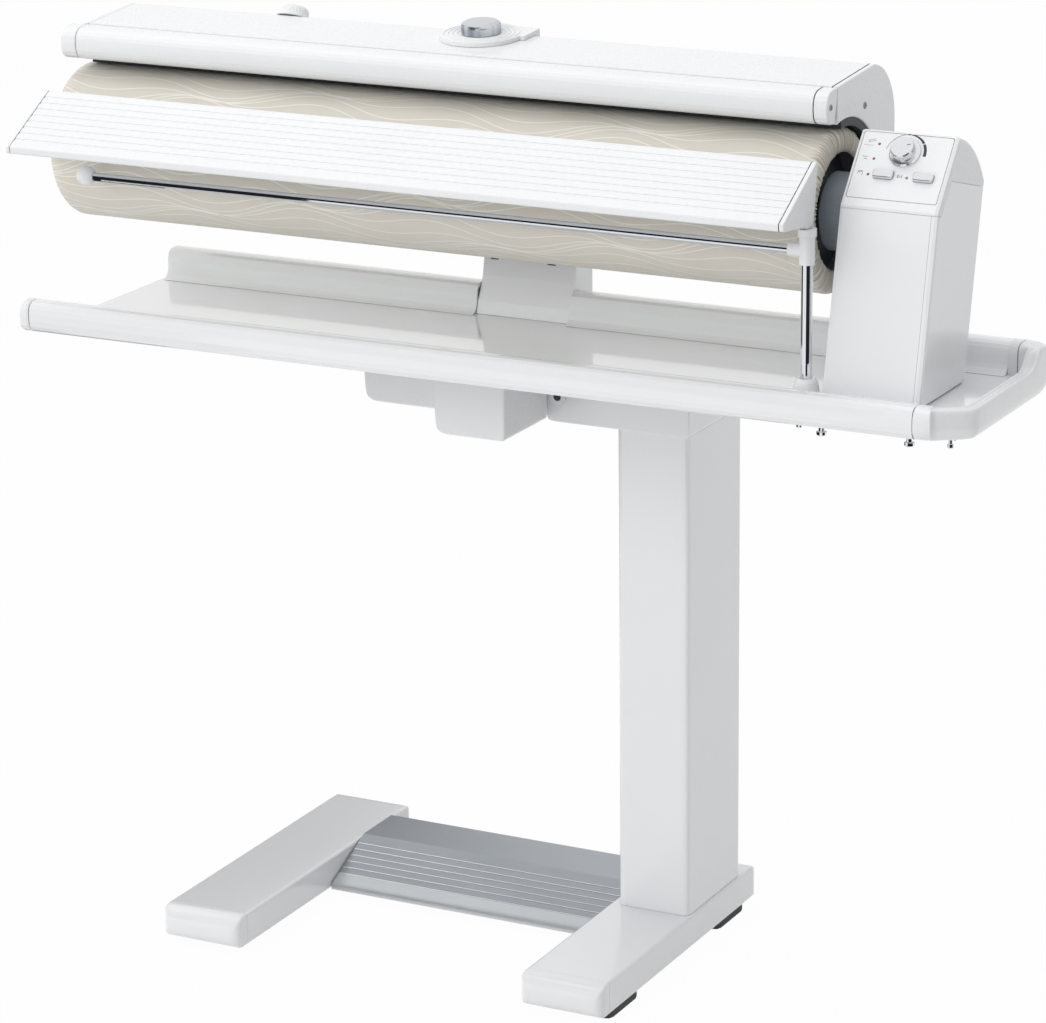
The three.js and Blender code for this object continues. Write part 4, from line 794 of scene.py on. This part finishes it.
screwHead = {"height": 0.9, "taper": 0.8, "crossLong": 1.15, "crossWide": 0.24, "crossDeep": 0.3, "crossAt": 0.95}
screws = {
    "guardCapScrew": {"body": "guard", "radius": 3.3, "finish": "greyBlue", "spots": [
        ((460.0, -102.9, 940.3), (1, 0, 0))]},
    "coverEndScrews": {"body": "plate", "radius": 3.7, "finish": "greyBlue", "spots": [
        ((460.0, -19.6, 927.5), (1, 0, 0)), ((-379.0, -19.6, 927.5), (-1, 0, 0)), ((-379.0, 28, 880), (-1, 0, 0))]},
    "headstockScrews": {"body": "unit", "radius": 2.8, "finish": "steel", "spots": [
        (onBack(x, z), backWay) for x in (490, 570) for z in (690, 846)]},
    "housingScrews": {"body": "unit", "radius": 2.8, "finish": "steel", "spots": [
        ((x, y, 566), (0, 0, -1)) for x, y in ((-92, 12), (-92, 96), (58, 96), (34, -70), (88, -70))]},
    "footScrews": {"body": "stand", "radius": 3.2, "finish": "steel", "spots": [
        ((x, 100, 8), (0, 0, -1)) for x in (-236, -187, 187, 236)]},
}


def makeScrews():
    for name, group in screws.items():
        wire, size = growTree("screwHeads", {"Radius": group["radius"] / 1000, "Height": screwHead["height"] / 1000})
        radius, height = size["Radius"], size["Height"]
        head = wire.node("GeometryNodeMeshCone", {"fill_type": "NGON"}, {
            "Vertices": 20, "Radius Top": radius * screwHead["taper"], "Radius Bottom": radius, "Depth": height})
        long, wide, deep = (radius * screwHead["crossLong"], radius * screwHead["crossWide"],
                            height * screwHead["crossDeep"])
        bars = [wire.node("GeometryNodeMeshCube", None, {"Size": xyz(wire, x, y, deep)})
                for x, y in ((long, wide), (wide, long))]
        # the cross is a dark solid, painted shade for the hollow of the recess
        recessShade = moved(wire, wire.join(bars), xyz(wire, z=height * screwHead["crossAt"]))
        points = size["Geometry"]
        endTree(wire, [(onFacing(wire, points, head), group["finish"]), (onFacing(wire, points, recessShade), "darkAndShade")])
        growPiece(name, wire, group["body"], None, [(at(*spot), way) for spot, way in group["spots"]])


# the sloping control face, its lamps, and its printed marks in millimetres across and up it
controlFace = {"y": -127.478, "z": 855, "tilt": 0.868388}
knobPlace = (530, 59.7)
lenses = {"radius": 1.05, "flat": 0.5, "bezel": 1.15, "bezelThick": 0.16,
          "red": [(502.3, 66.8), (501.0, 50.9), (499.7, 34.0)], "lime": [(538.7, 33.7)]}
marks = {
    "arcRadius": 19.6,
    # start and end in degrees, steps, width at the start and at the end
    "arcs": ((172, 104, 20, 0.45, 0.45), (98, 88, 6, 1.1, 1.1), (84, 36, 20, 1.0, 2.5), (33, -6, 20, 2.6, 3.1)),
    # plain signs beside the lamps: a roller over dashes, a warm plate, a foot rest
    "signs": [([(490.6, 69.6), (497.4, 71.8), (498.2, 70.2), (491.4, 68.0), (490.6, 69.6)], 0.4)]
             + [([(487.6 + i * 2.1, 64.8), (488.6 + i * 2.1, 64.8)], 0.5) for i in range(5)]
             + [([(489.0, 53.4), (490.2, 52.4), (494.6, 52.6)], 0.4), ([(490.6, 50.4), (494.4, 50.0)], 0.45)],
    "ring": ((491.4, 34.6), 2.4, 200, -60, 14), "rest": [(488.8, 37.4), (491.2, 35.4), (493.6, 37.6)],
    "signWidth": 0.4, "switch": {"text": "0-I", "size": 0.0052, "thick": 0.00004, "place": (531.3, 34.6)},
}


def makeLenses():
    for colour in ("red", "lime"):
        wire, size = growTree(colour + "Lenses", {"Radius": lenses["radius"] / 1000})
        radius = size["Radius"]
        dome = wire.node("GeometryNodeMeshUVSphere", None, {"Segments": 20, "Rings": 10, "Radius": radius})
        dome = smoothed(wire, moved(wire, dome, scale=(1, 1, lenses["flat"])))
        bezel = tube(wire, circle(wire, 24, radius * lenses["bezel"]), circle(wire, 6, radius * lenses["bezelThick"]))
        points = size["Geometry"]
        endTree(wire, [(onFacing(wire, points, dome), colour), (onFacing(wire, points, bezel), "ink")])
        growPiece(colour + "Lenses", wire, "unit", faceMatrix(controlFace),
                  [((x / 1000, up / 1000, 0), (0, 0, 1)) for x, up in lenses[colour]])


# a flat printed stroke of changing width along points on the control face, as a very thin closed strip
def strokeMesh(points, widths):
    vertices, faces = [], []
    count = len(points)
    for i, (x, y) in enumerate(points):
        before, after = points[max(i - 1, 0)], points[min(i + 1, count - 1)]
        run = Vector((after[0] - before[0], after[1] - before[1])).normalized()
        half = widths[i] / 2
        for sign in (1, -1):
            for z in (-0.05, 0.05):
                vertices.append(((x - run.y * half * sign) / 1000, (y + run.x * half * sign) / 1000, z / 1000))
    for i in range(count - 1):
        a, b = i * 4, i * 4 + 4
        faces += [(a + 1, a + 3, b + 3, b + 1), (a, b, b + 2, a + 2)]
        faces += [(a, a + 1, b + 1, b), (a + 2, b + 2, b + 3, a + 3)]
    last = count * 4 - 4
    return vertices, faces + [(0, 2, 3, 1), (last, last + 1, last + 3, last + 2)]


def arcPoints(centre, radius, start, end, steps):
    turns = [math.radians(start + (end - start) * i / steps) for i in range(steps + 1)]
    return [(centre[0] + radius * math.cos(t), centre[1] + radius * math.sin(t)) for t in turns]


def printedStrokes():
    strokes = []
    for start, end, steps, thin, thick in marks["arcs"]:
        widths = [thin + (thick - thin) * i / steps for i in range(steps + 1)]
        strokes.append((arcPoints(knobPlace, marks["arcRadius"], start, end, steps), widths))
    signs = marks["signs"] + [(arcPoints(*marks["ring"]), marks["signWidth"]), (marks["rest"], marks["signWidth"])]
    return strokes + [(points, [width] * len(points)) for points, width in signs]


# printed strokes as one piece on a sloping face
def addMarks(name, strokes, body, matrix):
    vertices, faces = [], []
    for points, widths in strokes:
        more, sides = strokeMesh(points, widths)
        faces += [tuple(i + len(vertices) for i in face) for face in sides]
        vertices += more
    piece = addPiece(name, vertices, faces, "ink", False)
    recalcNormals(piece, fineMerge)
    piece.data.transform(matrix)
    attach(piece, body)


def makePrintedMarks():
    addMarks("controlMarks", printedStrokes(), "unit", faceMatrix(controlFace))
    sign = marks["switch"]
    word = bpy.data.curves.new("switchSign", "FONT")
    word.body = sign["text"]
    word.size = sign["size"]
    word.extrude = sign["thick"]
    word.align_x = word.align_y = "CENTER"
    shape = addObject("switchSign", word)
    bpy.context.view_layer.update()
    mesh = bpy.data.meshes.new_from_object(shape.evaluated_get(bpy.context.evaluated_depsgraph_get()))
    bpy.data.objects.remove(shape)
    mesh.transform(faceMatrix(controlFace, *sign["place"]))
    mesh.materials.clear()
    mesh.materials.append(surfaces["ink"])
    piece = addObject("switchSign", mesh)
    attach(piece, "unit")


knobRibs = {"Count": 36, "Radius": 0.0113, "Thickness": 0.00035, "Length": 0.0076, "Start": 0.0034}
pointer = {"line": [(0, 5.5), (0, 9.4)], "width": 0.7, "out": 12.8, "turn": -70}


def makeKnobRibs():
    wire, size = growTree("knobRibs", knobRibs)
    bar = wire.node("GeometryNodeMeshCylinder", {"fill_type": "NGON"}, {
        "Vertices": 8, "Radius": size["Thickness"], "Depth": size["Length"]})
    bar = moved(wire, bar, xyz(wire, z=size["Start"] + size["Length"] * 0.5))
    endTree(wire, [(onPoints(wire, pointRing(wire, size), bar), "silver")])
    growPiece("knobRibs", wire, "knob", faceMatrix(controlFace, *knobPlace))
    turned = Matrix.Rotation(math.radians(pointer["turn"]), 4, "Z")
    addMarks("knobPointer", [(pointer["line"], [pointer["width"]] * 2)], "knob",
             faceMatrix(controlFace, *knobPlace, pointer["out"]) @ turned)


# the cover's round back, its sloping top and the place of the roller's release knob, 66 degrees up the round
coverBack = {"y": -5, "z": 902, "radius": 62}
coverTop = {"y": -86, "z": 957, "depth": 90}
topEnd = coverTop["y"] + coverTop["depth"] - coverBack["y"]
coverTop["tilt"] = math.atan2(
    coverBack["z"] + math.sqrt(coverBack["radius"] ** 2 - topEnd ** 2) - coverTop["z"], coverTop["depth"])
releaseTurn = math.radians(66)
releaseFace = {"y": coverBack["y"] + coverBack["radius"] * math.cos(releaseTurn),
               "z": coverBack["z"] + coverBack["radius"] * math.sin(releaseTurn), "tilt": releaseTurn - math.pi / 2}
fillerPlace = (45.6, 70, 4.5)

# turned shapes: radius and height, and the rows between which they are fluted
releaseKnob = {"line": [(16.8, 0), (16.8, 2.2), (16.2, 2.9), (15.6, 3.4), (15.4, 6), (14.9, 8.2), (13.6, 10.2),
                        (11.2, 11.6), (7, 12.5), (2, 12.8)], "fluted": (3, 6), "flutes": 30, "depth": 0.5, "x": -192}
fillerCap = {"line": [(19.6, 0.3), (20, 0.8), (20, 8.9), (19.7, 9.9), (18.9, 10.6), (17.6, 11.0), (17.2, 11.6),
                      (16.2, 12.2), (14, 12.5), (6, 12.7), (1.5, 12.75)], "fluted": (1, 2), "flutes": 48, "depth": 0.12,
             "satinAbove": 0.0108}
# raised rings round the filler cap
fillerRings = {"Count": 4, "First": 0.0245, "Pitch": 0.0046, "Thickness": 0.00075}


def turnedRings(knob):
    columns = knob["flutes"] * 6
    first, last = knob["fluted"]
    rings = []
    for i, (r, height) in enumerate(knob["line"]):
        depth = knob["depth"] if first <= i <= last else 0
        ring = []
        for j in range(columns):
            around = 2 * math.pi * j / columns
            out = (r - depth * (0.5 + 0.5 * math.cos(knob["flutes"] * around))) / 1000
            ring.append((out * math.cos(around), out * math.sin(around), height / 1000))
        rings.append(ring)
    return rings


def makeReleaseKnob():
    piece = addLoft("releaseKnob", turnedRings(releaseKnob), "moulded", 60)
    piece.data.transform(faceMatrix(releaseFace, releaseKnob["x"]))
    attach(piece, "release")
    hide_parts("release_knob")


def makeFillerRings():
    wire, size = growTree("fillerRings", fillerRings)
    line = wire.node("GeometryNodeMeshLine", {"mode": "OFFSET"}, {"Count": size["Count"], "Offset": (0, 0, 0)})
    reach = size["First"] + wire.node("GeometryNodeInputIndex") * size["Pitch"]
    rings = onPoints(wire, line, circle(wire, 72, 1.0), Scale=xyz(wire, reach, reach, reach))
    rings = wire.node("GeometryNodeRealizeInstances", None, {"Geometry": rings})
    solid = smoothed(wire, tube(wire, rings, circle(wire, 8, size["Thickness"])))
    endTree(wire, [(solid, "moulded")])
    growPiece("fillerRings", wire, "plate", faceMatrix(coverTop, *fillerPlace))


def makeFillerCap():
    piece = addLoft("fillerCap", turnedRings(fillerCap), "turned", 60)
    piece.data.materials.append(surfaces["trim"])
    for face in piece.data.polygons:
        face.material_index = 1 if face.center.z > fillerCap["satinAbove"] else 0
    piece.data.transform(faceMatrix(coverTop, *fillerPlace))
    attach(piece, "cap")
    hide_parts("filler_cap")


# columns of dark bars, painted shade for the hollows of vents at the back of the headstock and of two holes in the
# plate's support
slotShades = {
    "ventSlotShade": {
        "sizes": {"Length": 0.03, "Width": 0.0022, "Height": 0.0005, "Count": 8, "Pitch": 0.0065},
        "places": [onBack(x, 745) for x in (508, 552)], "out": backWay, "rise": backRise},
    "bracketSlotShade": {
        "sizes": {"Length": 0.009, "Width": 0.0024, "Height": 0.0005, "Count": 1, "Pitch": 0.005},
        "places": [(x, 10.3, 730.3) for x in (43.5, 108.5)], "out": (0, -29, 6), "rise": (0, 6, 29)},
}


def makeSlotShades():
    for name, group in slotShades.items():
        wire, size = growTree("slotShadeBars", group["sizes"])
        box = xyz(wire, size["Length"], size["Width"], size["Height"])
        bar = wire.node("GeometryNodeMeshCube", None, {"Size": box})
        line = wire.node("GeometryNodeMeshLine", {"mode": "OFFSET"}, {
            "Count": size["Count"], "Offset": xyz(wire, y=size["Pitch"])})
        endTree(wire, [(onPoints(wire, line, bar), "darkAndShade")])
        outwards, rise = Vector(group["out"]).normalized(), Vector(group["rise"]).normalized()
        for side, place in zip("LR", group["places"]):
            growPiece(name + side, wire, "unit", facingMatrix(at(*place), outwards, rise))


# double bead along the cover, above the guard
beads = {"ends": (-372, 453.5), "ups": (3.0, 8.5), "radius": 0.55, "widen": 1.5, "sunk": 0.15, "steps": 8}


def makeBeads():
    vertices, faces = [], []
    count = beads["steps"] + 1
    turns = [math.pi * i / beads["steps"] for i in range(count)]
    for up in beads["ups"]:
        faces += loftFaces(2, count, len(vertices))
        for x in beads["ends"]:
            vertices += [(x / 1000, (up + beads["radius"] * beads["widen"] * math.cos(turn)) / 1000,
                          (beads["radius"] * math.sin(turn) - beads["sunk"]) / 1000) for turn in turns]
    piece = addPiece("coverBeads", vertices, faces, "coverMoulded", False)
    recalcNormals(piece, fineMerge)
    piece.data.transform(faceMatrix(coverTop))
    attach(piece, "plate")


# lock stitches round the cover, beside each gathered end
stitches = {"Count": 150, "Radius": (roller["radius"] - 0.45) / 1000, "Length": 0.0021, "Thickness": 0.00032}
stitchPlaces = (-374.0, 431.0)


def makeStitches():
    wire, size = growTree("hemStitches", stitches)
    x, y, z = wire.node("GeometryNodeInputPosition").axes()
    turn = wire.node("FunctionNodeAlignRotationToVector", {"axis": "X"}, {"Vector": xyz(wire, -y, x)})
    stitch = wire.node("GeometryNodeMeshUVSphere", None, {"Segments": 6, "Rings": 5, "Radius": 1.0})
    thick = size["Thickness"]
    stitch = moved(wire, stitch, scale=xyz(wire, size["Length"] * 0.5, thick, thick))
    endTree(wire, [(smoothed(wire, onPoints(wire, pointRing(wire, size), stitch, Rotation=turn)), "cloth")])
    for side, x in zip("LR", stitchPlaces):
        matrix = facingMatrix(at(x, roller["y"], roller["z"]), Vector((1, 0, 0)), Vector((0, 1, 0)))
        growPiece("hemStitches" + side, wire, "roller", matrix)


makeScrews()
makeLenses()
makePrintedMarks()
makeKnobRibs()
makeReleaseKnob()
makeFillerRings()
makeFillerCap()
makeSlotShades()
makeBeads()
makeStitches()
print("small fittings made")


# 1 where the ray is of one of these kinds, 0 elsewhere
def seenBy(tree, *kinds):
    rays = tree.nodes.new("ShaderNodeLightPath")
    seen = Wire(tree, rays.outputs[kinds[0]])
    for kind in kinds[1:]:
        seen = seen.most(Wire(tree, rays.outputs[kind]))
    return seen


def makeFloor():
    reach, drop = room["reach"], -room["drop"]
    corners = [(-reach, -reach, drop), (reach, -reach, drop), (reach, reach, drop), (-reach, reach, drop)]
    floor = addPiece("studioFloor", corners, [(0, 1, 2, 3)], "moulded", False)
    material, tree = addMaterial("studioFloor")
    shader = tree.nodes["Principled BSDF"]
    shader.inputs["Base Color"].default_value = rgba((room["floor"],) * 3)
    shader.inputs["Roughness"].default_value = 0.9
    wire = Wire(tree)
    glow = wire.node("ShaderNodeEmission", None, {"Color": (1, 1, 1, 1), "Strength": 1.0})
    seen = seenBy(tree, "Is Camera Ray", "Is Glossy Ray") * room["floorGlow"]
    both = wire.node("ShaderNodeMixShader", None, {0: seen, 1: Wire(tree, shader.outputs[0]), 2: glow})
    tree.links.new(both.socket, tree.nodes["Material Output"].inputs[0])
    floor.data.materials[0] = material


# a plain white background to look at, and a softer light from it that falls off to the right and below
def makeWorld():
    world = bpy.data.worlds.new("studio")
    world.use_nodes = True
    bpy.context.scene.world = world
    tree = world.node_tree
    x, y, z = Wire(tree).node("ShaderNodeTexCoord", out="Generated").axes()
    soft = room["level"] - x * room["fromLeft"] + z * room["fromAbove"]
    level = soft + seenBy(tree, "Is Camera Ray", "Is Transmission Ray", "Is Glossy Ray") * (1.0 - soft)
    tree.nodes["Background"].inputs[0].default_value = (1, 1, 1, 1)
    tree.links.new(level.socket, tree.nodes["Background"].inputs[1])


makeFloor()
makeWorld()
bpy.context.scene.view_settings.view_transform = "Standard"
print("scene finished")
